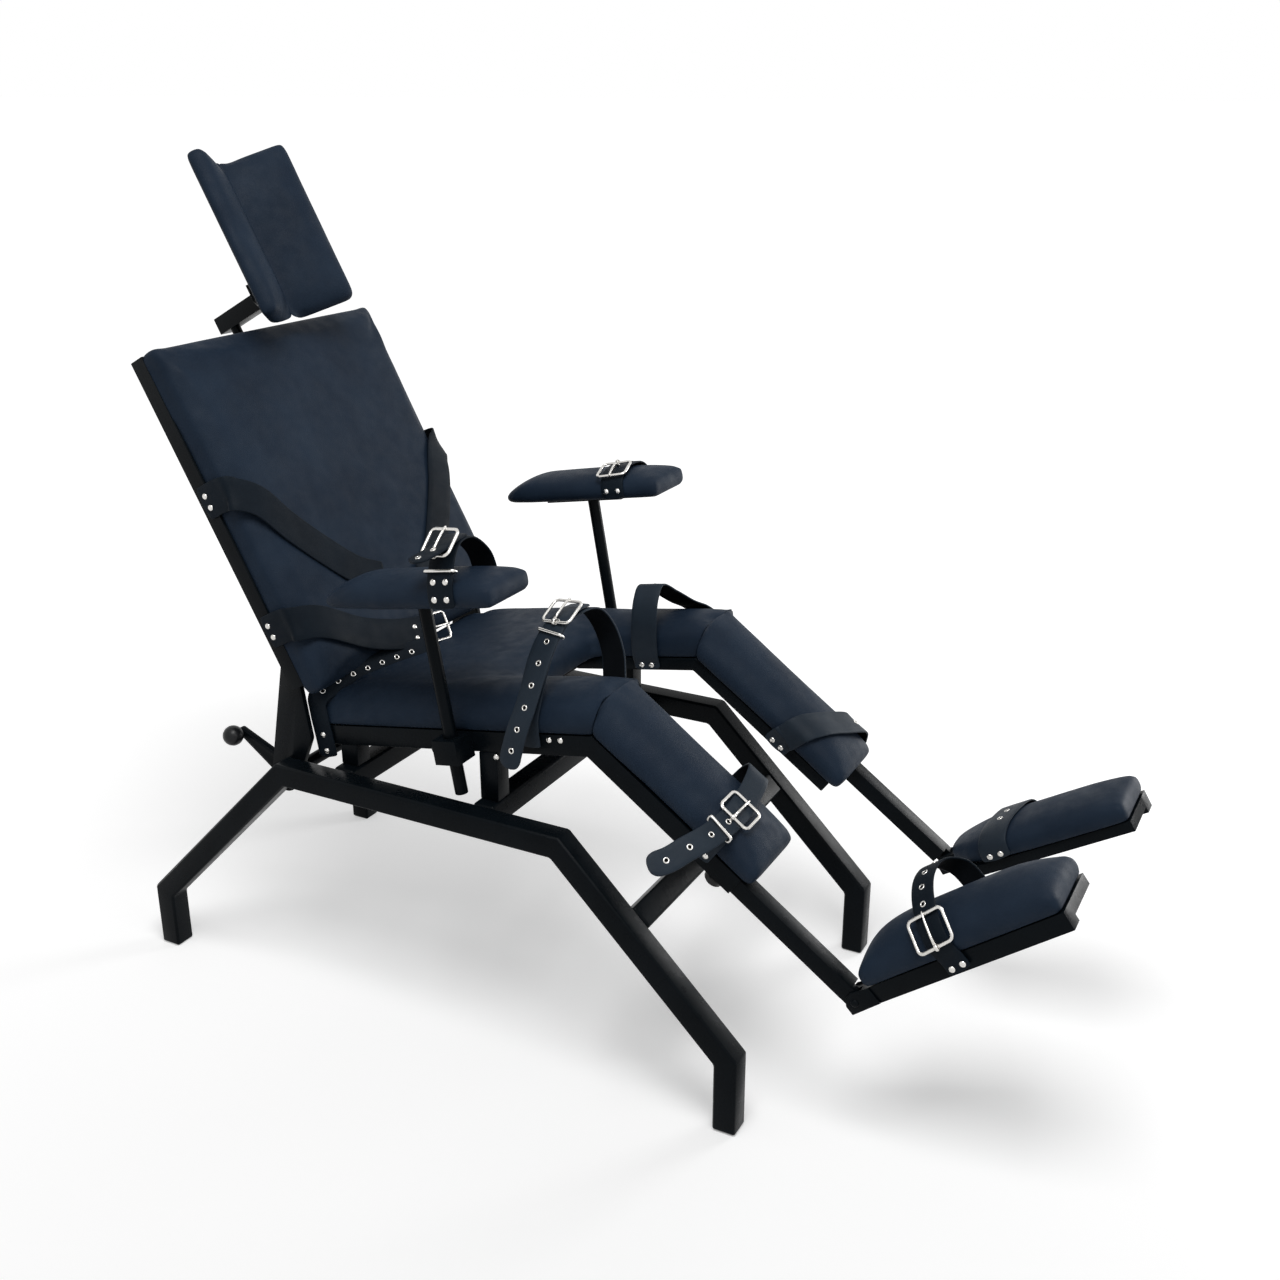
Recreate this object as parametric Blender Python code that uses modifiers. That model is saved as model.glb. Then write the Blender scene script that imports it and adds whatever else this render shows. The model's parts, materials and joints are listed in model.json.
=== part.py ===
"""A padded reclining chair with straps on a welded tube base.

Metres, +Z up, +X towards the feet, +Y to the chair's left, origin on the floor under the middle.
Frames: the base is square to the floor, the seat frame turns at the knee, the back at its pivot.
"""
import math

import bmesh
import bpy
from mathutils import Matrix, Vector

# Clearance between neighbouring pieces
GAP = 0.0003
SLIDE_CLEARANCE = 0.0005
RUN_CLEARANCE = 0.0004
ROUND_SIDES = 24

# Base frame
BASE_TUBE = 0.035
BASE_WIDTH = 0.542
BASE_LENGTH = 1.051
BASE_TOP = 0.392
REAR_FOOT_HEIGHT = 0.108
FRONT_FOOT_HEIGHT = 0.120
REAR_LEG_ANGLE = math.radians(45.0)
FRONT_LEG_ANGLE = math.radians(45.0)
REAR_RAIL_X = 0.3865
FRONT_RAIL_X = 0.6355
LOWER_RAIL_RUN = 0.156
TUBE_EDGE = 0.003

# Seat frame
KNEE_X = 0.797
KNEE_Z = 0.496
SEAT_PITCH = math.radians(9.75)
LEG_DROP = math.radians(35.7)
SEAT_WIDTH = 0.437
SEAT_RAIL = 0.030
SEAT_RAIL_LENGTH = 0.475
SLEEVE_LENGTH = 0.262
SLEEVE_DEPTH = 0.215
INNER_RAIL = 0.020
LEG_INNER_Y = 0.100
INNER_RAIL_SETBACK = 0.004
REAR_CROSS_S = -0.440
MIDDLE_CROSS_S = -0.215
SHIN_TIE_SETBACK = 0.022

# Cushions on the seat and legs
SEAT_PAD_EDGE = 0.035
SEAT_PAD_CROWN = 0.016
SEAT_NOTCH = 0.165
SHIN_PAD_LENGTH = 0.272
SHIN_PAD_EDGE = 0.027
SHIN_PAD_CROWN = 0.012
PAD_ROUNDING = 0.012
PAD_PULL = 0.004

# Telescoping legs and foot plates
LEG_TUBE = 0.025
KNEE_TO_HEEL = 0.4764
LEG_TUBE_LENGTH = 0.350
HEEL_RELIEF = 0.004
WELD_LAP = 0.010
FLUSH = 0.0002
LAP_CLEARANCE = 0.0004
HEEL_PIN_RADIUS = 0.005
FOOT_RAIL_LENGTH = 0.3207
FOOT_PITCH_RIGHT = math.radians(37.5)
FOOT_PITCH_LEFT = math.radians(31.5)
FOOT_FRAME_START = 0.060
FOOT_FRAME_BAR = 0.016
FOOT_PAD_START = 0.028
FOOT_PAD_LENGTH = 0.290
FOOT_PAD_HEEL = 0.100
FOOT_PAD_WIDTH = 0.112
FOOT_PAD_EDGE = 0.026
FOOT_PAD_CROWN = 0.008
KNOB_RADIUS = 0.014
KNOB_HEIGHT = 0.015
KNOB_SHANK_RADIUS = 0.004
LEG_KNOB_SETBACK = 0.028

# Back
PIVOT_X = 0.272
SHAFT_RADIUS = 0.010
BACK_RECLINE = math.radians(28.2)
BACK_WIDTH = 0.492
BACK_BOTTOM = 0.117
BACK_TOP = 0.640
BACK_REAR = 0.107
BACK_TUBE = 0.025
BACK_MIDDLE = 0.330
BACK_PAD_EDGE = 0.028
BACK_PAD_CROWN = 0.016
BACK_PAD_BOTTOM = 0.120
HINGE_PLATE = 0.008
HINGE_PLATE_RADIUS = 0.025
HINGE_TOP_RADIUS = 0.0115
HINGE_TOP_Z = 0.165
HINGE_HEEL_X = 0.076
HINGE_HEEL_Z = 0.045
HINGE_HEEL_RADIUS = 0.012

# Recline lever
LEVER_LENGTH = 0.104
LEVER_ANGLE = math.radians(150.0)
LEVER_THICK = 0.011
LEVER_HUB_RADIUS = 0.018
LEVER_TIP_RADIUS = 0.006
LEVER_BALL_RADIUS = 0.016

# Headrest
HEAD_SOCKET = 0.026
HEAD_SOCKET_LENGTH = 0.085
HEAD_SOCKET_DROP = 0.004
HEAD_POST_RADIUS = 0.008
HEAD_POST_LENGTH = 0.190
HEAD_VALLEY_X = 0.2075
HEAD_DROP = 0.002
HEAD_WING = math.radians(38.0)
HEAD_PAD_HEIGHT = 0.242
HEAD_PAD_WIDTH = 0.110
HEAD_PAD_EDGE = 0.026
HEAD_PAD_CROWN = 0.007
HEAD_BRACKET_LOW = 0.028
HEAD_BRACKET_HEIGHT = 0.026
HEAD_BRACKET_WING = 0.055
HEAD_BRACKET_TAIL = 0.016
HEAD_BRACKET_PLATE = 0.006
HEAD_BRACKET_STEM = 0.024

# Arms
ARM_S = -0.206
ARM_REACH = 0.0215
ARM_POST_RADIUS = 0.0095
ARM_POST_LENGTH = 0.282
ARM_HEIGHT_RIGHT = 0.226
ARM_HEIGHT_LEFT = 0.259
ARM_CLAMP_LENGTH = 0.040
ARM_CLAMP_HEIGHT = 0.036
ARM_CLAMP_H = 0.012
ARM_CLAMP_WALL = 0.010
ARM_PLATE_LENGTH = 0.140
ARM_PLATE_WIDTH = 0.060
ARM_PLATE_THICK = 0.004
ARM_PAD_REAR = 0.136
ARM_PAD_FRONT = 0.143
ARM_PAD_WIDTH = 0.100
ARM_PAD_TIP = 0.040
ARM_PAD_TAPER = 0.075
ARM_PAD_EDGE = 0.028
ARM_PAD_CROWN = 0.007
CLAMP_SCREW_RADIUS = 0.009
CLAMP_SCREW_HEAD = 0.013
CLAMP_SCREW_SHANK = 0.003
CLAMP_SCREW_DEPTH = 0.007

# Straps
STRAP_THICK = 0.003
STRAP_WIDTH = 0.034
BELT_WIDTH = 0.050
BELT_TURN = math.radians(35.0)
STRAP_GAP = 0.0006
STRAP_STEPS = 4
THIGH_STRAP_RIGHT = 0.049
THIGH_STRAP_LEFT = 0.018
THIGH_SKEW_RIGHT = 0.019
THIGH_SKEW_LEFT = 0.055
THIGH_HOOP_RIGHT = 0.190
THIGH_HOOP_LEFT = 0.130
THIGH_TAIL_REACH = 0.042
THIGH_TAIL_SWEEP = 0.043
SHIN_STRAP_RIGHT = 0.198
SHIN_STRAP_LEFT = 0.244
SHIN_SKEW_LEFT = 0.079
SHIN_TAIL_REACH = 0.0855
SHIN_TAIL_DROP = 0.037
SHIN_TAIL_SWEEP = 0.028
FOOT_STRAP_RIGHT = 0.163
FOOT_STRAP_LEFT = 0.150
FOOT_SKEW_RIGHT = 0.023
FOOT_SKEW_LEFT = 0.028
FOOT_HOOP_RIGHT = 0.098
WRIST_STRAP_RIGHT = 0.073
WRIST_STRAP_LEFT = 0.056
WRIST_HOOP_RIGHT = 0.054
CHEST_ANCHOR_RIGHT = 0.424
CHEST_ANCHOR_LEFT = 0.396
CHEST_DROP = 0.212
WAIST_ANCHOR = 0.208
WAIST_DROP = 0.100
LAP_INSET = 0.025
LAP_SWEEP = 0.060

# Sizes that follow from the ones above
BASE_INNER = BASE_WIDTH / 2 - BASE_TUBE
SEAT_PAD_LENGTH = SEAT_RAIL_LENGTH
HEAD_BOTTOM = BACK_TOP - HEAD_DROP
SEAT_RAIL_Y = SEAT_WIDTH / 2 - SEAT_RAIL / 2
ARM_Y = SEAT_WIDTH / 2 + ARM_REACH
INNER_RAIL_Y = LEG_INNER_Y + INNER_RAIL_SETBACK + INNER_RAIL / 2
SLEEVE_BORE = LEG_TUBE + 2 * SLIDE_CLEARANCE
PIVOT_Z = (REAR_FOOT_HEIGHT + PIVOT_X * math.tan(REAR_LEG_ANGLE)
           - BASE_TUBE / 2 / math.cos(REAR_LEG_ANGLE))
KNEE_HALF = (SEAT_PITCH + LEG_DROP) / 2
HEEL_X = KNEE_X + KNEE_TO_HEEL * math.cos(LEG_DROP) + SEAT_RAIL / 2 * math.sin(LEG_DROP)
LOW_PITCH = min(FOOT_PITCH_RIGHT, FOOT_PITCH_LEFT)
TOE_X = (HEEL_X + FOOT_RAIL_LENGTH * math.cos(LOW_PITCH)
         + LEG_TUBE / 2 * math.sin(LOW_PITCH))
MIDDLE_X = TOE_X / 2

PARTS = bpy.data.collections.new("reclining_chair")
CUTTERS = bpy.data.collections.new("cutters")


def start_clean():
    for item in list(bpy.data.objects):
        bpy.data.objects.remove(item, do_unlink=True)
    bpy.context.scene.collection.children.link(PARTS)
    bpy.context.scene.collection.children.link(CUTTERS)


def material(name, colour, roughness, metallic):
    made = bpy.data.materials.new(name)
    made.use_nodes = True
    shader = made.node_tree.nodes["Principled BSDF"]
    shader.inputs["Base Color"].default_value = (*colour, 1.0)
    shader.inputs["Roughness"].default_value = roughness
    shader.inputs["Metallic"].default_value = metallic
    return made


def frame_empty(name, location=(0, 0, 0), turn_y=0.0, parent=None, turn_z=0.0):
    """An empty that carries the pieces of one frame."""
    empty = bpy.data.objects.new(name, None)
    empty.empty_display_size = 0.05
    turn = Matrix.Rotation(turn_y, 4, "Y") @ Matrix.Rotation(turn_z, 4, "Z")
    empty.matrix_basis = Matrix.Translation(location) @ turn
    empty.parent = parent
    PARTS.objects.link(empty)
    return empty


def add_object(name, mesh, look, parent, place=None, cutter=False):
    item = bpy.data.objects.new(name, mesh)
    item.parent = parent
    if place is not None:
        item.matrix_basis = place
    if cutter:
        CUTTERS.objects.link(item)
        item.hide_render = True
        item.display_type = "WIRE"
    else:
        PARTS.objects.link(item)
        mesh.materials.append(look)
    return item


def mesh_from(bm, name):
    mesh = bpy.data.meshes.new(name)
    bmesh.ops.recalc_face_normals(bm, faces=bm.faces)
    bm.to_mesh(mesh)
    bm.free()
    return mesh


def smooth(item, angle=40.0):
    item.data.shade_smooth()
    item.data.set_sharp_from_angle(angle=math.radians(angle))


def bevel(item, width, segments=1):
    made = item.modifiers.new("edges", "BEVEL")
    made.width = width
    made.segments = segments
    made.limit_method = "ANGLE"
    made.angle_limit = math.radians(40.0)
    return made


def cut(item, cutter):
    made = item.modifiers.new("cut", "BOOLEAN")
    made.operation = "DIFFERENCE"
    made.object = cutter


def join(item, other):
    made = item.modifiers.new("weld", "BOOLEAN")
    made.operation = "UNION"
    made.object = other


def block(name, size, look, parent, centre=(0, 0, 0), turn_y=0.0, cutter=False):
    """A rectangular bar."""
    bm = bmesh.new()
    bmesh.ops.create_cube(bm, size=1.0)
    bmesh.ops.scale(bm, vec=Vector(size), verts=bm.verts)
    place = Matrix.Translation(centre) @ Matrix.Rotation(turn_y, 4, "Y")
    return add_object(name, mesh_from(bm, name), look, parent, place, cutter)


def round_bar(name, radius, length, look, parent, centre, axis, cutter=False, sides=ROUND_SIDES):
    """A round bar whose middle is at centre and whose length runs along axis."""
    bm = bmesh.new()
    bmesh.ops.create_cone(bm, cap_ends=True, segments=sides, radius1=radius, radius2=radius,
                          depth=length)
    turn = Vector((0, 0, 1)).rotation_difference(Vector(axis)).to_matrix().to_4x4()
    item = add_object(name, mesh_from(bm, name), look, parent, Matrix.Translation(centre) @ turn,
                      cutter)
    if not cutter:
        smooth(item)
    return item


def offset_path(points, distance):
    """The path moved to its left by distance, with mitred corners."""
    moved = []
    for index, point in enumerate(points):
        here = Vector(point)
        before = (here - Vector(points[index - 1])).normalized() if index else None
        after = (Vector(points[index + 1]) - here).normalized() if index < len(points) - 1 else None
        one = before or after
        two = after or before
        left_one = Vector((-one.y, one.x))
        left_two = Vector((-two.y, two.x))
        corner = (left_one + left_two).normalized()
        moved.append(here + corner * (distance / corner.dot(left_one)))
    return moved


def strip_outline(path, near, far):
    """The closed outline between two offsets of a path."""
    return list(offset_path(path, near)) + list(reversed(offset_path(path, far)))


def arc(centre, radius, start, stop, count):
    points = []
    for index in range(count + 1):
        angle = start + (stop - start) * index / count
        points.append(Vector((centre[0] + radius * math.cos(angle),
                              centre[1] + radius * math.sin(angle))))
    return points


def hull_of_circles(circles, count=24):
    """The convex outline around circles given as (x, y, radius)."""
    cloud = []
    for x, y, radius in circles:
        cloud += arc((x, y), radius, 0.0, 2 * math.pi * (1 - 1 / count), count - 1)
    cloud = sorted(cloud, key=lambda point: (point.x, point.y))

    def half(points):
        chain = []
        for point in points:
            while len(chain) > 1:
                first = chain[-1] - chain[-2]
                second = point - chain[-2]
                if first.x * second.y - first.y * second.x > 1e-12:
                    break
                chain.pop()
            chain.append(point)
        return chain[:-1]

    return half(cloud) + half(list(reversed(cloud)))


def plate(name, outlines, thickness, look, parent, place=None, cutter=False):
    """A flat outline, with any holes, given thickness both ways. Outlines lie in XZ."""
    curve = bpy.data.curves.new(name, "CURVE")
    curve.dimensions = "2D"
    curve.fill_mode = "BOTH"
    curve.extrude = thickness / 2
    for outline in outlines:
        spline = curve.splines.new("POLY")
        spline.points.add(len(outline) - 1)
        for point, corner in zip(spline.points, outline):
            point.co = (corner[0], corner[1], 0.0, 1.0)
        spline.use_cyclic_u = True
    flat = bpy.data.objects.new(name + "_outline", curve)
    CUTTERS.objects.link(flat)
    bpy.context.view_layer.update()
    seen = flat.evaluated_get(bpy.context.evaluated_depsgraph_get())
    made = bpy.data.meshes.new_from_object(seen)
    bpy.data.objects.remove(flat, do_unlink=True)
    bm = bmesh.new()
    bm.from_mesh(made)
    bpy.data.meshes.remove(made)
    bmesh.ops.remove_doubles(bm, verts=bm.verts, dist=1e-6)
    upright = Matrix.Rotation(math.radians(90.0), 4, "X")
    bmesh.ops.transform(bm, matrix=upright, verts=bm.verts)
    return add_object(name, mesh_from(bm, name), look, parent, place, cutter)


def cushion(name, stations_x, stations_y, edge, crown, look, parent, place, keep=None, form=None):
    """A padded cushion from a coarse cage: flat below, rounded sides, crowned top."""
    bm = bmesh.new()
    columns = len(stations_x) - 1
    rows = len(stations_y) - 1
    bmesh.ops.create_grid(bm, x_segments=columns, y_segments=rows, size=1.0)
    for vert in bm.verts:
        column = round((vert.co.x + 1) / 2 * columns)
        row = round((vert.co.y + 1) / 2 * rows)
        vert.co = Vector((stations_x[column], stations_y[row], 0.0))
    if keep is not None:
        gone = [face for face in bm.faces if not keep(face.calc_center_median())]
        bmesh.ops.delete(bm, geom=gone, context="FACES")
    layer = bm.faces[:]
    for height in (edge * 0.55, edge * 0.45):
        made = bmesh.ops.extrude_face_region(bm, geom=layer)
        lifted = [item for item in made["geom"] if isinstance(item, bmesh.types.BMVert)]
        if height == edge * 0.45:
            bmesh.ops.delete(bm, geom=layer, context="FACES_ONLY")
        bmesh.ops.translate(bm, vec=(0, 0, height), verts=lifted)
        layer = [item for item in made["geom"] if isinstance(item, bmesh.types.BMFace)]
    bm.normal_update()
    rims = {vert for vert in bm.verts if abs(vert.co.z - edge) < 1e-7}
    outer = {vert for vert in rims if any(abs(face.normal.z) < 0.5 for face in vert.link_faces)}
    for vert in rims - outer:
        vert.co.z += crown
    for vert in bm.verts:
        if form is not None:
            vert.co = form(vert.co.copy())
    item = add_object(name, mesh_from(bm, name), look, parent, place)
    softened = item.modifiers.new("soft", "SUBSURF")
    softened.levels = 1
    softened.render_levels = 1
    item.data.shade_smooth()
    return item


def spaced(low, high, rounding, inner):
    """Stations from low to high with one close to each end and some between."""
    values = [low, low + rounding]
    for index in range(1, inner + 1):
        values.append(low + rounding + (high - low - 2 * rounding) * index / (inner + 1))
    return values + [high - rounding, high]


def ribbon(name, path, wide, thickness, look, parent, place=None):
    """A strap: a strip that follows a path, wide is the half-width vector at each point."""
    bm = bmesh.new()
    pairs = []
    for index, point in enumerate(path):
        across = wide(index / (len(path) - 1)) if callable(wide) else wide
        pairs.append((bm.verts.new(Vector(point) - across), bm.verts.new(Vector(point) + across)))
    for one, two in zip(pairs, pairs[1:]):
        bm.faces.new((one[0], two[0], two[1], one[1]))
    mesh = bpy.data.meshes.new(name)
    bm.to_mesh(mesh)
    bm.free()
    item = add_object(name, mesh, look, parent, place)
    thick = item.modifiers.new("thick", "SOLIDIFY")
    thick.thickness = thickness
    thick.offset = 0.0
    thick.use_even_offset = True
    return item


def base_outline():
    rear_x = (BASE_TOP - REAR_FOOT_HEIGHT) / math.tan(REAR_LEG_ANGLE)
    front_x = BASE_LENGTH - (BASE_TOP - FRONT_FOOT_HEIGHT) / math.tan(FRONT_LEG_ANGLE)
    outer = [Vector((0.0, 0.0)), Vector((0.0, REAR_FOOT_HEIGHT)), Vector((rear_x, BASE_TOP)),
             Vector((front_x, BASE_TOP)), Vector((BASE_LENGTH, FRONT_FOOT_HEIGHT)),
             Vector((BASE_LENGTH, 0.0))]
    return outer


def build_base(root, steel):
    outer = base_outline()
    for side, name in ((-1, "right"), (1, "left")):
        y = side * (BASE_WIDTH / 2 - BASE_TUBE / 2)
        frame = plate("base_side_" + name, [strip_outline(outer, 0.0, -BASE_TUBE)], BASE_TUBE,
                      steel, root, Matrix.Translation((0, y, 0)))
        bevel(frame, TUBE_EDGE)
    length = 2 * (BASE_INNER - GAP)
    for name, x in (("cross_rail_rear", REAR_RAIL_X), ("cross_rail_front", FRONT_RAIL_X)):
        rail = block(name, (BASE_TUBE, length, BASE_TUBE), steel, root,
                     (x, 0, BASE_TOP - BASE_TUBE / 2))
        bevel(rail, TUBE_EDGE)
    along = Vector((math.cos(FRONT_LEG_ANGLE), 0, -math.sin(FRONT_LEG_ANGLE)))
    inward = Vector((-math.sin(FRONT_LEG_ANGLE), 0, -math.cos(FRONT_LEG_ANGLE)))
    bend = Vector((outer[3].x, 0, outer[3].y))
    lower = block("cross_rail_lower", (BASE_TUBE, length, BASE_TUBE), steel, root,
                  bend + along * LOWER_RAIL_RUN + inward * BASE_TUBE / 2, FRONT_LEG_ANGLE)
    bevel(lower, TUBE_EDGE)
    round_bar("recline_shaft", SHAFT_RADIUS, length, steel, root, (PIVOT_X, 0, PIVOT_Z), (0, 1, 0),
              sides=32)


def knee_path(rear, front):
    """The underside line of a leg rail in the seat frame, from the rear to the shin end."""
    bend = SEAT_PITCH + LEG_DROP
    return [Vector((rear, 0.0)), Vector((0.0, 0.0)),
            Vector((front * math.cos(bend), -front * math.sin(bend)))]


def build_seat_frame(root, seat, steel):
    path = knee_path(-SEAT_RAIL_LENGTH, SLEEVE_LENGTH)
    bend = SEAT_PITCH + LEG_DROP
    along = Vector((math.cos(bend), 0, -math.sin(bend)))
    upward = Vector((math.sin(bend), 0, math.cos(bend)))
    for side, name in ((-1, "right"), (1, "left")):
        y = side * SEAT_RAIL_Y
        rail = plate("seat_rail_" + name, [strip_outline(path, 0.0, SEAT_RAIL)], SEAT_RAIL, steel,
                     seat, Matrix.Translation((0, y, 0)))
        middle = along * (SLEEVE_LENGTH - SLEEVE_DEPTH / 2 + 0.005) + upward * SEAT_RAIL / 2
        bore = block("sleeve_bore_" + name, (SLEEVE_DEPTH + 0.010, SLEEVE_BORE, SLEEVE_BORE), steel,
                     seat, (middle.x, y, middle.z), bend, cutter=True)
        cut(rail, bore)
        spot = along * (SLEEVE_LENGTH - LEG_KNOB_SETBACK)
        hole = round_bar("knob_hole_" + name, KNOB_SHANK_RADIUS + RUN_CLEARANCE, SEAT_RAIL, steel,
                         seat, (spot.x, y, spot.z), upward, cutter=True)
        cut(rail, hole)
        inner_start = MIDDLE_CROSS_S + INNER_RAIL / 2 + GAP
        inner = strip_outline(knee_path(inner_start, SLEEVE_LENGTH), SEAT_RAIL - INNER_RAIL,
                              SEAT_RAIL)
        plate("leg_rail_inner_" + name, [inner], INNER_RAIL, steel, seat,
              Matrix.Translation((0, side * INNER_RAIL_Y, 0)))
        inside = SEAT_RAIL_Y - SEAT_RAIL / 2 - GAP
        outside = INNER_RAIL_Y + INNER_RAIL / 2 + GAP
        tie = along * (SLEEVE_LENGTH - SHIN_TIE_SETBACK) + upward * (SEAT_RAIL - INNER_RAIL / 2)
        block("shin_tie_" + name, (INNER_RAIL, inside - outside, INNER_RAIL), steel, seat,
              (tie.x, side * (inside + outside) / 2, tie.z), bend)
    width = 2 * (SEAT_RAIL_Y - SEAT_RAIL / 2 - GAP)
    for name, s in (("seat_cross_rear", REAR_CROSS_S), ("seat_cross_middle", MIDDLE_CROSS_S)):
        block(name, (INNER_RAIL, width, INNER_RAIL), steel, seat,
              (s, 0, SEAT_RAIL - INNER_RAIL / 2))


def build_uprights(root, steel):
    """Short posts that carry the seat rails on the cross rails, cut to the seat's slope."""
    for place, x in (("rear", REAR_RAIL_X), ("front", FRONT_RAIL_X)):
        corners = []
        for edge in (x - SEAT_RAIL / 2, x + SEAT_RAIL / 2):
            corners.append(Vector((edge, BASE_TOP + GAP)))
        for edge in (x + SEAT_RAIL / 2, x - SEAT_RAIL / 2):
            under = KNEE_Z + (edge - KNEE_X) * math.tan(SEAT_PITCH)
            corners.append(Vector((edge, under - GAP / math.cos(SEAT_PITCH))))
        for side, name in ((-1, "right"), (1, "left")):
            plate("seat_upright_" + place + "_" + name, [corners], SEAT_RAIL, steel, root,
                  Matrix.Translation((0, side * SEAT_RAIL_Y, 0)))


def build_seat_pads(seat, leather):
    lift = SEAT_RAIL + GAP
    lean = math.tan(KNEE_HALF)
    half = SEAT_WIDTH / 2
    rounding = PAD_ROUNDING
    notch = -SEAT_NOTCH
    stations_x = [-SEAT_PAD_LENGTH, -SEAT_PAD_LENGTH + rounding, (notch - SEAT_PAD_LENGTH) / 2,
                  notch - rounding, notch, notch + rounding, notch * 0.45, -rounding, 0.0]
    inner = LEG_INNER_Y
    stations_y = [-half, -half + rounding, -(half + inner) / 2, -inner - rounding, -inner,
                  -inner * 0.35, inner * 0.35, inner, inner + rounding, (half + inner) / 2,
                  half - rounding, half]

    def keep(point):
        return not (point.x > notch and abs(point.y) < inner)

    def form(point):
        reach = (point.x + SEAT_PAD_LENGTH) / SEAT_PAD_LENGTH
        point.x += reach * ((point.z + lift) * lean - GAP) if point.x > notch else 0.0
        return point

    cushion("seat_pad", stations_x, stations_y, SEAT_PAD_EDGE, SEAT_PAD_CROWN, leather, seat,
            Matrix.Translation((0, 0, lift)), keep, form)


def build_shin_pads(legs, leather):
    lift = SEAT_RAIL + GAP
    lean = math.tan(KNEE_HALF)
    stations_x = spaced(0.0, SHIN_PAD_LENGTH, PAD_ROUNDING, 2)

    def form(point):
        reach = 1 - point.x / SHIN_PAD_LENGTH
        swell = 4 * reach * (1 - reach)
        point.x -= reach * ((point.z + lift) * lean - GAP)
        point.y -= math.copysign(PAD_PULL * swell, point.y - middle)
        return point

    for side, name in ((-1, "right"), (1, "left")):
        ends = sorted((side * LEG_INNER_Y, side * SEAT_WIDTH / 2))
        middle = sum(ends) / 2
        cushion("shin_pad_" + name, stations_x, spaced(ends[0], ends[1], PAD_ROUNDING, 1),
                SHIN_PAD_EDGE, SHIN_PAD_CROWN, leather, legs,
                Matrix.Translation((0, 0, lift)), form=form)


def knob(name, look, parent, base, axis, radius, height, shank_radius, shank_length):
    """A turned knob: its shank goes into the hole, its head stands on the surface at base."""
    profile = [(0.0, height), (radius * 0.7, height), (radius, height * 0.75),
               (radius, height * 0.25), (radius * 0.75, GAP), (shank_radius, GAP),
               (shank_radius, -shank_length), (0.0, -shank_length)]
    bm = bmesh.new()
    verts = [bm.verts.new((x, 0, z)) for x, z in profile]
    for one, two in zip(verts, verts[1:]):
        bm.edges.new((one, two))
    mesh = bpy.data.meshes.new(name)
    bm.to_mesh(mesh)
    bm.free()
    turn = Vector((0, 0, 1)).rotation_difference(Vector(axis)).to_matrix().to_4x4()
    item = add_object(name, mesh, look, parent, Matrix.Translation(base) @ turn)
    spin = item.modifiers.new("turn", "SCREW")
    spin.steps = ROUND_SIDES - 8
    spin.render_steps = ROUND_SIDES - 8
    spin.use_merge_vertices = True
    spin.merge_threshold = 0.00001
    spin.use_smooth_shade = False
    return item


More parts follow.
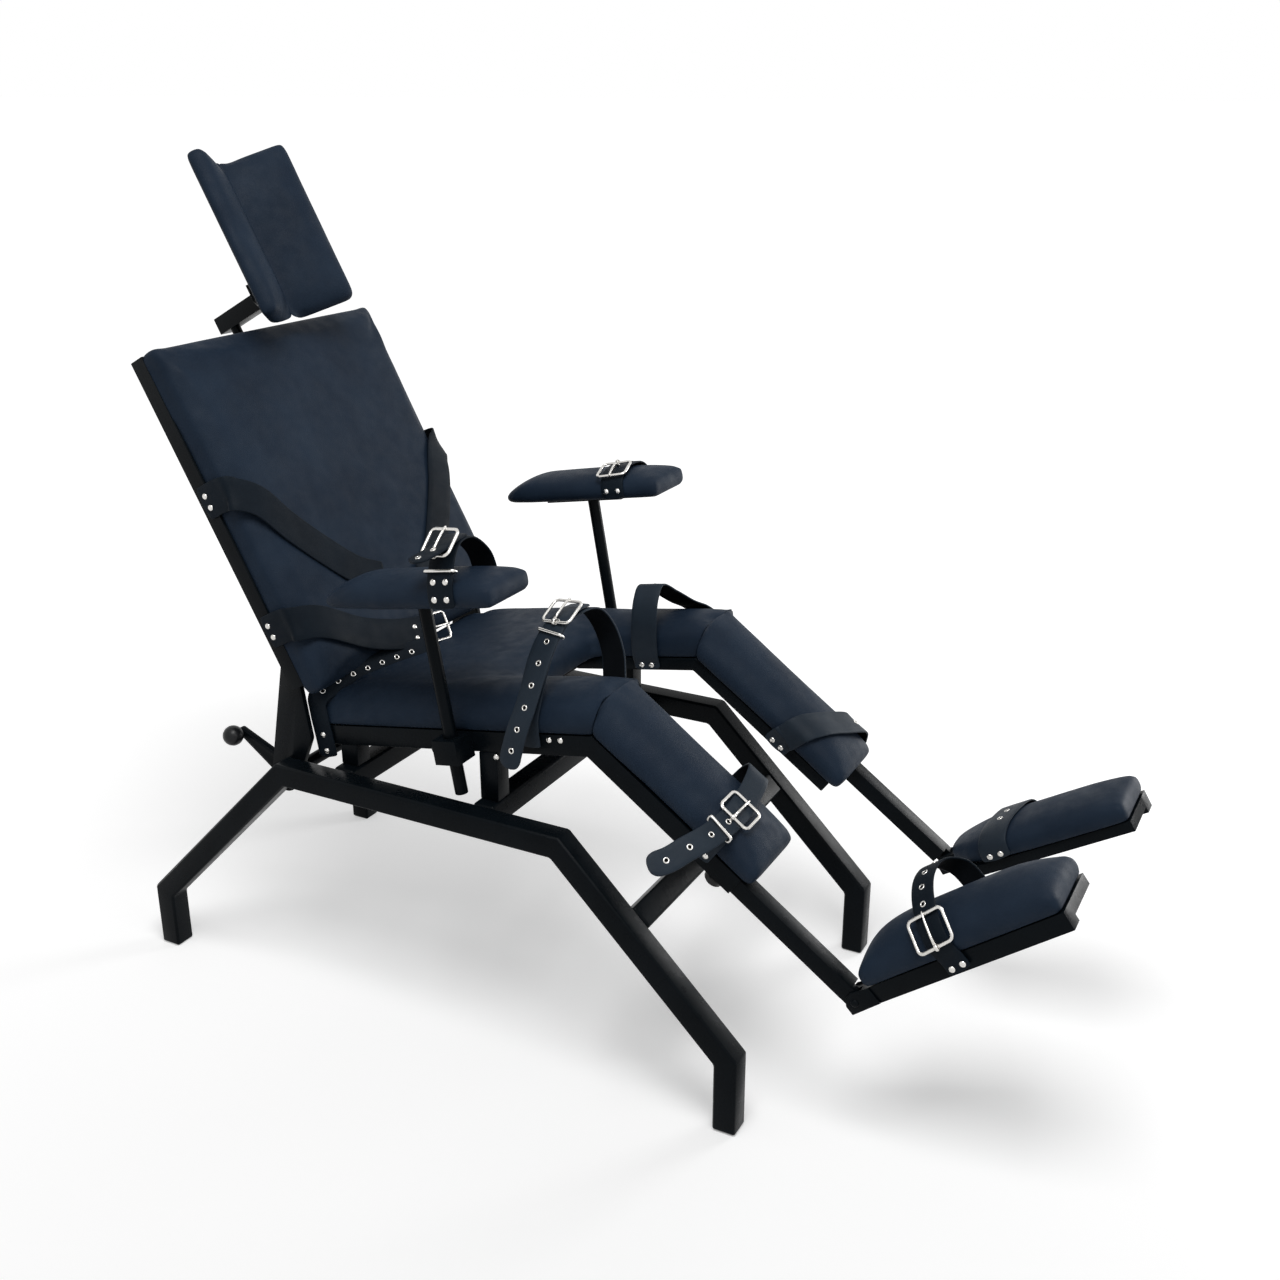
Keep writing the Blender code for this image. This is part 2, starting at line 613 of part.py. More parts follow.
def build_legs(legs, steel, plastic, leather):
    """Telescoping tubes with a half-lap hinge at the heel, foot rails and padded foot boards."""
    feet = {}
    lap = LEG_TUBE / 2 - LAP_CLEARANCE / 2

    def form(point):
        run = min(1.0, max(0.0, (point.x - FOOT_PAD_START) / FOOT_PAD_HEEL))
        keep = 0.30 + 0.70 * math.sqrt(1 - (1 - run) ** 2)
        point.y = outer + (point.y - outer) * keep
        return point

    for side, name, pitch in ((-1, "right", FOOT_PITCH_RIGHT), (1, "left", FOOT_PITCH_LEFT)):
        y = side * SEAT_RAIL_Y
        radius = LEG_TUBE / 2
        slide = frame_empty("leg_slide_" + name, (0, y, SEAT_RAIL / 2), parent=legs)
        heel = (KNEE_TO_HEEL, 0.0)
        end = arc(heel, radius, math.radians(-90), math.radians(90), 10)
        start = KNEE_TO_HEEL - LEG_TUBE_LENGTH
        tube_end = KNEE_TO_HEEL - radius - HEEL_RELIEF
        tube = plate("leg_tube_" + name,
                     [[Vector((start, -radius)), Vector((tube_end, -radius)),
                       Vector((tube_end, radius)), Vector((start, radius))]],
                     LEG_TUBE, steel, slide)
        tongue = plate("heel_tongue_" + name,
                       [[Vector((tube_end - WELD_LAP, -radius + FLUSH)),
                         Vector((KNEE_TO_HEEL, -radius + FLUSH))]
                        + arc(heel, radius - FLUSH, math.radians(-80), math.radians(80), 10)
                        + [Vector((KNEE_TO_HEEL, radius - FLUSH)),
                           Vector((tube_end - WELD_LAP, radius - FLUSH))]],
                       lap, steel, slide,
                       Matrix.Translation((0, side * (LEG_TUBE / 2 - lap / 2 - 0.0001), 0)),
                       cutter=True)
        join(tube, tongue)
        pin = round_bar("heel_pin_" + name, HEEL_PIN_RADIUS, LEG_TUBE - 0.002, steel, slide,
                        (KNEE_TO_HEEL, 0, 0), (0, 1, 0), cutter=True)
        join(tube, pin)
        foot = frame_empty("foot_hinge_" + name, (KNEE_TO_HEEL, 0, 0), -(pitch + LEG_DROP),
                           parent=slide)
        rail_start = radius + HEEL_RELIEF
        rail = plate("foot_rail_" + name,
                     [[Vector((rail_start, -radius)), Vector((FOOT_RAIL_LENGTH, -radius)),
                       Vector((FOOT_RAIL_LENGTH, radius)), Vector((rail_start, radius))]],
                     LEG_TUBE, steel, foot)
        ear = plate("foot_ear_" + name,
                    [[Vector((rail_start + WELD_LAP, radius - FLUSH)),
                      Vector((0.0, radius - FLUSH))]
                     + arc((0, 0), radius - FLUSH, math.radians(100), math.radians(260), 10)
                     + [Vector((0.0, -radius + FLUSH)),
                        Vector((rail_start + WELD_LAP, -radius + FLUSH))],
                     list(reversed(arc((0, 0), HEEL_PIN_RADIUS + RUN_CLEARANCE, 0,
                                       2 * math.pi * 23 / 24, 23)))],
                    lap, steel, foot,
                    Matrix.Translation((0, -side * (LEG_TUBE / 2 - lap / 2 - 0.0001), 0)),
                    cutter=True)
        join(rail, ear)
        outer = side * (SEAT_WIDTH / 2 - SEAT_RAIL_Y)
        inner = outer - side * FOOT_PAD_WIDTH
        ends = sorted((outer, inner))
        reach = sorted((-side * (radius - 0.001), inner + side * INNER_RAIL_SETBACK))
        bar = FOOT_FRAME_BAR

        def frame_outline(inset):
            low = reach[0] + inset
            high = reach[1] - inset
            return [Vector((FOOT_FRAME_START + inset, low)),
                    Vector((FOOT_RAIL_LENGTH - FLUSH - inset, low)),
                    Vector((FOOT_RAIL_LENGTH - FLUSH - inset, high)),
                    Vector((FOOT_FRAME_START + inset, high))]

        flat = Matrix.Rotation(math.radians(-90.0), 4, "X")
        frame = plate("foot_frame_" + name, [frame_outline(0.0), list(reversed(frame_outline(bar)))],
                      bar, steel, foot,
                      Matrix.Translation((0, 0, radius - FLUSH - bar / 2)) @ flat, cutter=True)
        join(rail, frame)
        stations_x = [FOOT_PAD_START, FOOT_PAD_START + PAD_ROUNDING,
                      FOOT_PAD_START + FOOT_PAD_HEEL * 0.45, FOOT_PAD_START + FOOT_PAD_HEEL,
                      FOOT_PAD_START + FOOT_PAD_LENGTH * 0.68,
                      FOOT_PAD_START + FOOT_PAD_LENGTH - PAD_ROUNDING,
                      FOOT_PAD_START + FOOT_PAD_LENGTH]
        cushion("foot_pad_" + name, stations_x, spaced(ends[0], ends[1], PAD_ROUNDING, 1),
                FOOT_PAD_EDGE, FOOT_PAD_CROWN, leather, foot,
                Matrix.Translation((0, 0, radius + GAP)), form=form)
        feet[name] = foot
        knob("leg_lock_knob_" + name, plastic, legs, (SLEEVE_LENGTH - LEG_KNOB_SETBACK, y, 0),
             (0, 0, -1), KNOB_RADIUS, KNOB_HEIGHT, KNOB_SHANK_RADIUS,
             (SEAT_RAIL - SLEEVE_BORE) / 2 - GAP)
    return feet


def build_back(back, steel, leather, plastic):
    half = BACK_WIDTH / 2
    tube = BACK_TUBE

    def rectangle(y_size, low, high, backwards=False):
        corners = [Vector((-y_size, low)), Vector((y_size, low)), Vector((y_size, high)),
                   Vector((-y_size, high))]
        return list(reversed(corners)) if backwards else corners

    outlines = [rectangle(half, BACK_BOTTOM, BACK_TOP),
                rectangle(half - tube, BACK_BOTTOM + tube, BACK_MIDDLE - tube / 2, True),
                rectangle(half - tube, BACK_MIDDLE + tube / 2, BACK_TOP - tube, True)]
    sideways = Matrix.Rotation(math.radians(90.0), 4, "Z")
    frame = plate("back_frame", outlines, tube, steel, back,
                  Matrix.Translation((BACK_REAR + tube / 2, 0, 0)) @ sideways)
    circles = [(0, 0, HINGE_PLATE_RADIUS),
               (BACK_REAR + tube / 2, HINGE_TOP_Z, HINGE_TOP_RADIUS),
               (HINGE_HEEL_X, HINGE_HEEL_Z, HINGE_HEEL_RADIUS)]
    hole = arc((0, 0), SHAFT_RADIUS + RUN_CLEARANCE, 0, 2 * math.pi * 31 / 32, 31)
    y_plate = BASE_INNER - GAP - HINGE_PLATE / 2
    for side, name in ((-1, "right"), (1, "left")):
        hinge = plate("hinge_plate_" + name, [hull_of_circles(circles), list(reversed(hole))],
                      HINGE_PLATE, steel, back, Matrix.Translation((0, side * y_plate, 0)),
                      cutter=True)
        join(frame, hinge)
    stations_x = spaced(0.0, BACK_TOP - BACK_PAD_BOTTOM, PAD_ROUNDING, 4)
    stations_y = spaced(-half, half, PAD_ROUNDING, 3)
    length = BACK_TOP - BACK_PAD_BOTTOM

    def form(point):
        along = point.x / length
        point.y *= 1 - PAD_PULL / half * 4 * along * (1 - along)
        return point

    face_front = Matrix.Rotation(math.radians(90.0), 4, "Y")
    cushion("back_pad", stations_x, stations_y, BACK_PAD_EDGE, BACK_PAD_CROWN, leather, back,
            Matrix.Translation((BACK_REAR + tube + GAP, 0, BACK_TOP)) @ face_front, form=form)
    socket_x = BACK_REAR - GAP - HEAD_SOCKET / 2
    socket_z = BACK_TOP - HEAD_SOCKET_DROP - HEAD_SOCKET_LENGTH / 2
    socket = block("headrest_socket", (HEAD_SOCKET, HEAD_SOCKET, HEAD_SOCKET_LENGTH), steel, back,
                   (socket_x, 0, socket_z))
    bore = round_bar("headrest_bore", HEAD_POST_RADIUS + RUN_CLEARANCE, HEAD_SOCKET_LENGTH + 0.02,
                     steel, back, (socket_x, 0, socket_z), (0, 0, 1), cutter=True)
    cut(socket, bore)
    wall = HEAD_SOCKET / 2 - HEAD_POST_RADIUS - RUN_CLEARANCE
    hole = round_bar("headrest_knob_hole", KNOB_SHANK_RADIUS + RUN_CLEARANCE, HEAD_SOCKET, steel,
                     back, (socket_x - HEAD_SOCKET / 2, 0, socket_z), (1, 0, 0), cutter=True)
    cut(socket, hole)
    knob("headrest_lock_knob", plastic, back, (socket_x - HEAD_SOCKET / 2, 0, socket_z), (-1, 0, 0),
         KNOB_RADIUS, KNOB_HEIGHT, KNOB_SHANK_RADIUS, wall - GAP)
    return socket_x


def build_headrest(back, socket_x, steel, leather):
    lifted = frame_empty("headrest_slide", (socket_x, 0, BACK_TOP), parent=back)
    valley = frame_empty("headrest_valley", (HEAD_VALLEY_X - socket_x, 0, HEAD_BOTTOM - BACK_TOP),
                         parent=lifted)
    depth = HEAD_PAD_EDGE + HEAD_PAD_CROWN
    face_front = Matrix.Rotation(math.radians(90.0), 4, "Y")
    for side, name in ((-1, "right"), (1, "left")):
        wing = Matrix.Rotation(-side * HEAD_WING, 4, "Z")
        seat_edge = 2 * GAP
        ends = sorted((side * seat_edge, side * HEAD_PAD_WIDTH))
        place = wing @ Matrix.Translation((-depth, 0, HEAD_PAD_HEIGHT)) @ face_front
        cushion("head_pad_" + name, spaced(0.0, HEAD_PAD_HEIGHT, PAD_ROUNDING, 2),
                spaced(ends[0], ends[1], PAD_ROUNDING, 1), HEAD_PAD_EDGE, HEAD_PAD_CROWN, leather,
                valley, place)
    sine = math.sin(HEAD_WING)
    cosine = math.cos(HEAD_WING)

    def behind(along, back_by):
        return Vector((along * sine - back_by * cosine, -(along * cosine + back_by * sine)))

    near = depth + GAP
    far = near + HEAD_BRACKET_PLATE
    stem = HEAD_BRACKET_STEM / 2
    rear = -(HEAD_VALLEY_X - socket_x) - HEAD_POST_RADIUS - HEAD_BRACKET_TAIL
    right = [behind(0.004, near), behind(HEAD_BRACKET_WING, near), behind(HEAD_BRACKET_WING, far)]
    inside = behind(0.012, far)
    right += [inside, Vector((inside.x - HEAD_BRACKET_PLATE, -stem)), Vector((rear, -stem))]
    outline = right + [Vector((point.x, -point.y)) for point in reversed(right)]
    flat = Matrix.Rotation(math.radians(-90.0), 4, "X")
    low = HEAD_BRACKET_LOW
    bracket = plate("headrest_bracket", [outline], HEAD_BRACKET_HEIGHT, steel, valley,
                    Matrix.Translation((0, 0, low + HEAD_BRACKET_HEIGHT / 2)) @ flat, cutter=True)
    post_top = HEAD_BOTTOM - BACK_TOP + low + HEAD_BRACKET_HEIGHT / 2
    post = round_bar("headrest_post", HEAD_POST_RADIUS, HEAD_POST_LENGTH, steel, lifted,
                     (0, 0, post_top - HEAD_POST_LENGTH / 2), (0, 0, 1))
    join(post, bracket)


def build_lever(root, steel, plastic):
    pivot = frame_empty("lever_pivot", (PIVOT_X, 0, PIVOT_Z), parent=root)
    y = -(BASE_INNER - GAP - HINGE_PLATE - GAP - LEVER_THICK / 2)
    tip = (LEVER_LENGTH * math.cos(LEVER_ANGLE), LEVER_LENGTH * math.sin(LEVER_ANGLE))
    hull = hull_of_circles([(0, 0, LEVER_HUB_RADIUS), (tip[0], tip[1], LEVER_TIP_RADIUS)])
    hole = arc((0, 0), SHAFT_RADIUS + RUN_CLEARANCE, 0, 2 * math.pi * 31 / 32, 31)
    plate("recline_lever", [hull, list(reversed(hole))], LEVER_THICK, steel, pivot,
          Matrix.Translation((0, y, 0)))
    bm = bmesh.new()
    bmesh.ops.create_uvsphere(bm, u_segments=16, v_segments=10, radius=LEVER_BALL_RADIUS)
    ball_y = y - LEVER_THICK / 2 - GAP - LEVER_BALL_RADIUS
    ball = add_object("lever_ball", mesh_from(bm, "lever_ball"), plastic, pivot,
                      Matrix.Translation((tip[0], ball_y, tip[1])) @ Matrix.Rotation(math.pi / 2, 4, "X"))
    smooth(ball, 80.0)


def build_arms(seat, steel, plastic, leather):
    turns = {}
    half = ARM_PAD_WIDTH / 2
    tip = ARM_PAD_TIP / ARM_PAD_WIDTH

    def form(point):
        run = min(1.0, max(0.0, (point.x + ARM_PAD_REAR) / ARM_PAD_TAPER))
        point.y *= tip + (1 - tip) * math.sqrt(1 - (1 - run) ** 2)
        return point

    for side, name, height in ((-1, "right", ARM_HEIGHT_RIGHT), (1, "left", ARM_HEIGHT_LEFT)):
        y = side * ARM_Y
        inner = SEAT_WIDTH / 2 + GAP
        outer = ARM_Y + ARM_POST_RADIUS + RUN_CLEARANCE + ARM_CLAMP_WALL
        clamp = block("arm_clamp_" + name, (ARM_CLAMP_LENGTH, outer - inner, ARM_CLAMP_HEIGHT),
                      steel, seat, (ARM_S, side * (outer + inner) / 2, ARM_CLAMP_H))
        bore = round_bar("arm_bore_" + name, ARM_POST_RADIUS + RUN_CLEARANCE,
                         ARM_CLAMP_HEIGHT + 0.02, steel, seat, (ARM_S, y, ARM_CLAMP_H), (0, 0, 1),
                         cutter=True)
        rear = ARM_S - ARM_CLAMP_LENGTH / 2
        hole = round_bar("clamp_hole_" + name, CLAMP_SCREW_SHANK + RUN_CLEARANCE,
                         ARM_CLAMP_LENGTH, steel, seat, (rear, y, ARM_CLAMP_H), (1, 0, 0),
                         cutter=True)
        cut(clamp, bore)
        cut(clamp, hole)
        knob("arm_clamp_screw_" + name, plastic, seat, (rear, y, ARM_CLAMP_H), (-1, 0, 0),
             CLAMP_SCREW_RADIUS, CLAMP_SCREW_HEAD, CLAMP_SCREW_SHANK, CLAMP_SCREW_DEPTH)
        slide = frame_empty("arm_slide_" + name, (ARM_S, y, height), parent=seat)
        round_bar("arm_post_" + name, ARM_POST_RADIUS, ARM_POST_LENGTH, steel, slide,
                  (0, 0, -ARM_POST_LENGTH / 2), (0, 0, 1))
        turn = frame_empty("arm_turn_" + name, (0, 0, GAP), parent=slide)
        block("arm_plate_" + name, (ARM_PLATE_LENGTH, ARM_PLATE_WIDTH, ARM_PLATE_THICK), steel, turn,
              (0, 0, ARM_PLATE_THICK / 2))
        stations_x = [-ARM_PAD_REAR, -ARM_PAD_REAR + PAD_ROUNDING, -ARM_PAD_REAR + ARM_PAD_TAPER * 0.4,
                      -ARM_PAD_REAR + ARM_PAD_TAPER, ARM_PAD_FRONT / 2, ARM_PAD_FRONT - PAD_ROUNDING,
                      ARM_PAD_FRONT]
        cushion("arm_pad_" + name, stations_x, spaced(-half, half, PAD_ROUNDING, 1), ARM_PAD_EDGE,
                ARM_PAD_CROWN, leather, turn, Matrix.Translation((0, 0, ARM_PLATE_THICK + GAP)),
                form=form)
        turns[name] = turn
    return turns


def smooth_path(points, steps=STRAP_STEPS):
    """A smooth curve through the points, with steps pieces between neighbours."""
    points = [Vector(point) for point in points]
    ends = [2 * points[0] - points[1]] + points + [2 * points[-1] - points[-2]]
    path = []
    for index in range(1, len(ends) - 2):
        before, here, there, after = ends[index - 1:index + 3]
        for step in range(steps):
            t = step / steps
            path.append(0.5 * (2 * here + (there - before) * t
                               + (2 * before - 5 * here + 4 * there - after) * t ** 2
                               + (3 * here - before - 3 * there + after) * t ** 3))
    return path + [points[-1]]


def strap(name, route, across, look, parent, side=1, tail=None):
    """A strap along a route whose y grows outwards, with an optional free tail."""
    def turned(points):
        return smooth_path([(x, side * y, z) for x, y, z in points])

    def wide(along):
        made = Vector(across(along) if callable(across) else across) * 0.5
        made.y *= side
        return made

    item = ribbon(name, turned(route), wide, STRAP_THICK, look, parent)
    if tail is not None:
        end = ribbon(name + "_tail", turned(tail), wide(1.0) * 0.97, STRAP_THICK * 0.9, look, parent)
        end.hide_render = True
        end.display_type = "WIRE"
        PARTS.objects.unlink(end)
        CUTTERS.objects.link(end)
        join(item, end)


def build_thigh_straps(seat, leather):
    """Straps that stand over the thigh rests as hoops; the right one ends in a free tail."""
    off = STRAP_GAP + STRAP_THICK / 2
    outer = SEAT_WIDTH / 2 + off
    inner = LEG_INNER_Y - off
    span = outer - inner
    rail = LEG_INNER_Y + INNER_RAIL_SETBACK - off
    low = SEAT_RAIL * 0.4
    edge = SEAT_RAIL + SEAT_PAD_EDGE
    across = (STRAP_WIDTH, 0, 0)
    s = -THIGH_STRAP_RIGHT
    skew = THIGH_SKEW_RIGHT
    rise = THIGH_HOOP_RIGHT - edge
    reach = THIGH_TAIL_REACH
    sweep = THIGH_TAIL_SWEEP
    strap("thigh_strap_right",
          [(s, outer, low), (s, outer, (low + edge) / 2), (s - skew * 0.05, outer, edge),
           (s - skew * 0.16, inner + span * 0.82, edge + rise * 0.60),
           (s - skew * 0.32, inner + span * 0.55, edge + rise * 0.94),
           (s - skew * 0.21, inner + span * 0.25, edge + rise),
           (s + skew * 0.10, inner - span * 0.05, edge + rise * 0.80),
           (s + skew * 0.58, inner - span * 0.13, edge + rise * 0.40),
           (s + skew * 0.95, inner - off, edge), (s + skew, inner - off * 0.3, edge * 0.55),
           (s + skew, rail, low * 1.8), (s + skew, rail, low)],
          across, leather, seat, -1,
          tail=[(s - sweep * 0.06, inner + span * 0.604, edge + rise * 0.908),
                (s - sweep * 0.03, inner + span * 0.83, edge + rise * 0.72),
                (s - sweep * 0.18, outer + reach * 0.13, edge + rise * 0.36),
                (s - sweep * 0.56, outer + reach * 0.60, edge * 0.92),
                (s - sweep, outer + reach, 0.0)])
    s = -THIGH_STRAP_LEFT
    skew = THIGH_SKEW_LEFT
    rise = THIGH_HOOP_LEFT - edge
    strap("thigh_strap_left",
          [(s, outer, low), (s, outer, (low + edge) / 2), (s - skew * 0.03, outer, edge),
           (s - skew * 0.12, inner + span * 0.93, edge + rise * 0.62),
           (s - skew * 0.21, inner + span * 0.65, edge + rise * 0.97),
           (s - skew * 0.33, inner + span * 0.33, edge + rise * 0.94),
           (s - skew * 0.52, inner + span * 0.02, edge + rise * 0.77),
           (s - skew * 0.70, inner - span * 0.08, edge + rise * 0.39),
           (s - skew * 0.88, inner - off, edge), (s - skew * 0.97, inner - off * 0.3, edge * 0.55),
           (s - skew, rail, low * 1.8), (s - skew, rail, low)],
          across, leather, seat)


def build_shin_straps(legs, leather):
    """Straps that lie over the shin pads; the right one ends in a free tail."""
    off = STRAP_GAP + STRAP_THICK / 2
    outer = SEAT_WIDTH / 2 + off
    inner = LEG_INNER_Y - off
    span = outer - inner
    rail = LEG_INNER_Y + INNER_RAIL_SETBACK - off
    low = SEAT_RAIL * 0.4
    edge = SEAT_RAIL + SHIN_PAD_EDGE
    top = edge + SHIN_PAD_CROWN + off
    bend = PAD_ROUNDING
    across = (STRAP_WIDTH, 0, 0)
    x = SHIN_STRAP_RIGHT
    reach = SHIN_TAIL_REACH
    drop = SHIN_TAIL_DROP
    sweep = SHIN_TAIL_SWEEP
    strap("shin_strap_right",
          [(x, outer, low), (x, outer, (low + edge) / 2), (x, outer, edge - bend * 0.3),
           (x, outer - bend * 1.3, top), (x, inner + span * 0.55, top + off * 2),
           (x, inner + span * 0.22, top + off * 0.5), (x, inner + bend * 0.3, edge + bend * 0.5),
           (x, inner, edge - bend * 1.2), (x, inner, edge * 0.64), (x, rail, low * 1.8),
           (x, rail, low)],
          across, leather, legs, -1,
          tail=[(x, inner + span * 0.67, top + off * 1.7),
                (x - sweep * 0.04, inner + span * 0.95, top + off * 2),
                (x - sweep * 0.28, outer + reach * 0.34, top - drop * 0.19),
                (x - sweep * 0.64, outer + reach * 0.72, top - drop * 0.62),
                (x - sweep, outer + reach, top - drop)])
    x = SHIN_STRAP_LEFT
    skew = SHIN_SKEW_LEFT
    strap("shin_strap_left",
          [(x, outer, low), (x, outer, (low + edge) / 2), (x - skew * 0.05, outer + off, edge),
           (x - skew * 0.18, outer - bend * 1.3, top + off * 4),
           (x - skew * 0.43, inner + span * 0.55, top + off * 1.5),
           (x - skew * 0.68, inner + span * 0.22, top),
           (x - skew * 0.86, inner + bend * 0.3, edge + bend * 0.5),
           (x - skew * 0.94, inner, edge - bend * 1.2), (x - skew * 0.97, inner, edge * 0.64),
           (x - skew, rail, low * 1.8), (x - skew, rail, low)],
          across, leather, legs)


def build_foot_straps(feet, leather):
    """Straps over the foot boards, in frames whose y is measured from the foot rail."""
    off = STRAP_GAP + STRAP_THICK / 2
    outer = SEAT_RAIL / 2 + off
    inner = SEAT_RAIL / 2 - FOOT_PAD_WIDTH - off
    span = outer - inner
    floor = LEG_TUBE / 2 + GAP
    edge = floor + FOOT_PAD_EDGE
    top = edge + FOOT_PAD_CROWN + off
    bend = PAD_ROUNDING
    low = -LEG_TUBE * 0.36
    high = LEG_TUBE * 0.40
    across = (STRAP_WIDTH, 0, 0)
    x = FOOT_STRAP_RIGHT
    skew = FOOT_SKEW_RIGHT
    rise = FOOT_HOOP_RIGHT - edge
    strap("foot_strap_right",
          [(x, outer, low), (x - skew * 0.09, outer, high), (x - skew * 0.30, outer, edge),
           (x - skew * 0.48, inner + span * 0.77, edge + rise * 0.63),
           (x - skew * 0.52, inner + span * 0.42, edge + rise),
           (x - skew * 0.22, inner + span * 0.11, edge + rise),
           (x + skew * 0.43, inner - span * 0.08, edge + rise * 0.56),
           (x + skew * 0.91, inner, edge - bend * 0.7), (x + skew, inner, floor + STRAP_THICK)],
          across, leather, feet["right"], -1)
    x = FOOT_STRAP_LEFT
    skew = FOOT_SKEW_LEFT
    strap("foot_strap_left",
          [(x, outer, low), (x - skew * 0.07, outer, high), (x - skew * 0.14, outer, edge - bend * 0.5),
           (x - skew * 0.29, outer - bend, top), (x - skew * 0.57, inner + span * 0.51, top + off * 2),
           (x - skew * 0.79, inner + span * 0.21, top + off),
           (x - skew * 0.93, inner + bend * 0.3, edge + bend * 0.25), (x - skew, inner, edge - bend),
           (x - skew, inner, floor + STRAP_THICK)],
          across, leather, feet["left"])


def build_wrist_straps(turns, leather):
    """The right strap stands over its arm pad as a hoop, and the left one lies on its pad."""
    off = STRAP_GAP + STRAP_THICK / 2
    outer = ARM_PAD_WIDTH / 2 + off
    base = ARM_PLATE_THICK + GAP + STRAP_THICK
    edge = ARM_PLATE_THICK + GAP + ARM_PAD_EDGE
    top = edge + ARM_PAD_CROWN + off
    bend = PAD_ROUNDING
    hoop = WRIST_HOOP_RIGHT
    x = WRIST_STRAP_RIGHT
    across = (STRAP_WIDTH, 0, 0)
    strap("wrist_strap_right",
          [(x, outer, base), (x, outer, edge - bend * 0.5), (x, outer * 0.92, edge + hoop * 0.30),
           (x, outer * 0.42, edge + hoop * 0.96), (x, -outer * 0.27, edge + hoop),
           (x, -outer * 0.88, edge + hoop * 0.48), (x, -outer, edge - bend * 0.5), (x, -outer, base)],
          across, leather, turns["right"], -1)
    x = WRIST_STRAP_LEFT
    strap("wrist_strap_left",
          [(x, outer, base), (x, outer, edge - bend * 0.67), (x, outer - bend * 0.67, top),
           (x, outer * 0.38, top + off * 4), (x, -outer * 0.38, top + off * 4),
           (x, -outer + bend * 0.67, top), (x, -outer, edge - bend * 0.67), (x, -outer, base)],
          across, leather, turns["left"])


def build_belts(back, seat, leather):
    """Chest straps and the waist belt on the back, and the lap strap along the seat's rear edge."""
    off = STRAP_GAP + STRAP_THICK / 2
    side = BACK_WIDTH / 2 + off
    front = BACK_REAR + BACK_TUBE + GAP + BACK_PAD_EDGE
    lying = front + BACK_PAD_CROWN + off
    rear = BACK_REAR + BACK_TUBE * 0.32
    bend = PAD_ROUNDING

    def chest_across(along):
        turned = min(1.0, max(0.0, (along - 0.25) * 4)) * BELT_TURN
        return (0, -BELT_WIDTH * math.sin(turned), BELT_WIDTH * math.cos(turned))

    drop = CHEST_DROP
    for hand, name, z in ((-1, "right", CHEST_ANCHOR_RIGHT), (1, "left", CHEST_ANCHOR_LEFT)):
        strap("chest_strap_" + name,
              [(rear, side, z), (front - bend * 0.67, side, z),
               (front + bend, side - bend * 0.33, z - drop * 0.04),
               (lying + off * 1.4, side * 0.86, z - drop * 0.17),
               (lying + off, side * 0.73, z - drop * 0.40), (lying + off, side * 0.56, z - drop * 0.64),
               (lying + off * 2, side * 0.37, z - drop * 0.87), (lying + off * 4, side * 0.18, z - drop)],
              chest_across, leather, back, hand)
    z = WAIST_ANCHOR
    drop = WAIST_DROP
    strap("waist_belt_right",
          [(rear, side, z), (front - bend * 0.67, side, z),
           (front + bend, side - bend * 0.33, z - drop * 0.05),
           (lying + off * 2, side * 0.83, z - drop * 0.18), (lying + off * 1.4, side * 0.56, z - drop * 0.58),
           (lying + off * 3.5, side * 0.343, z - drop * 0.81), (lying + off * 5, side * 0.145, z - drop * 0.96),
           (lying + off * 5.5, side * 0.04, z - drop)],
          (0, 0, BELT_WIDTH), leather, back, -1)
    outer = SEAT_WIDTH / 2 + off
    edge = SEAT_RAIL + SEAT_PAD_EDGE
    top = edge + SEAT_PAD_CROWN + off
    s = LAP_INSET - SEAT_PAD_LENGTH
    sweep = LAP_SWEEP
    strap("lap_strap_right",
          [(s, outer, -SEAT_RAIL * 0.67), (s, outer, SEAT_RAIL * 0.33), (s, outer, edge - bend * 0.5),
           (s + sweep * 0.02, outer - bend * 0.42, edge + bend),
           (s + sweep * 0.10, outer * 0.82, top + off * 1.4), (s + sweep * 0.32, outer * 0.58, top + off),
           (s + sweep * 0.62, outer * 0.36, top + off), (s + sweep, outer * 0.16, top + off * 1.4)],
          (STRAP_WIDTH, 0, 0), leather, seat, -1)


def build():
    start_clean()
    steel = material("black_powder_coat", (0.018, 0.019, 0.021), 0.42, 0.0)
    leather = material("black_leather", (0.020, 0.023, 0.030), 0.45, 0.0)
    plastic = material("black_plastic", (0.015, 0.015, 0.016), 0.35, 0.0)
    root = frame_empty("chair", (-MIDDLE_X, 0, 0))
    seat = frame_empty("seat_frame", (KNEE_X, 0, KNEE_Z), -SEAT_PITCH, root)
    legs = frame_empty("leg_frame", (KNEE_X, 0, KNEE_Z), LEG_DROP, root)
    back = frame_empty("back_pivot", (PIVOT_X, 0, PIVOT_Z), -BACK_RECLINE, root)
    build_base(root, steel)
    build_seat_frame(root, seat, steel)
    build_uprights(root, steel)
    build_seat_pads(seat, leather)
    build_shin_pads(legs, leather)
    feet = build_legs(legs, steel, plastic, leather)
    socket_x = build_back(back, steel, leather, plastic)
    build_headrest(back, socket_x, steel, leather)
    build_lever(root, steel, plastic)
    turns = build_arms(seat, steel, plastic, leather)
    build_thigh_straps(seat, leather)
    build_shin_straps(legs, leather)
    build_foot_straps(feet, leather)
    build_wrist_straps(turns, leather)
    build_belts(back, seat, leather)
    bpy.context.view_layer.update()


build()
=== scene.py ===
# %% [markdown]
# # A padded reclining chair with straps
# The real chair is a welded frame of black tube with leather pads and buckled leather straps on it.
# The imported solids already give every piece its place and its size, in metres.
# This lesson keeps those places and gives each piece the finish that the real one shows.

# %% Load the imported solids
import json
import math

import bmesh
import bpy
import numpy as np
from mathutils import Matrix, Vector
from mathutils.bvhtree import BVHTree

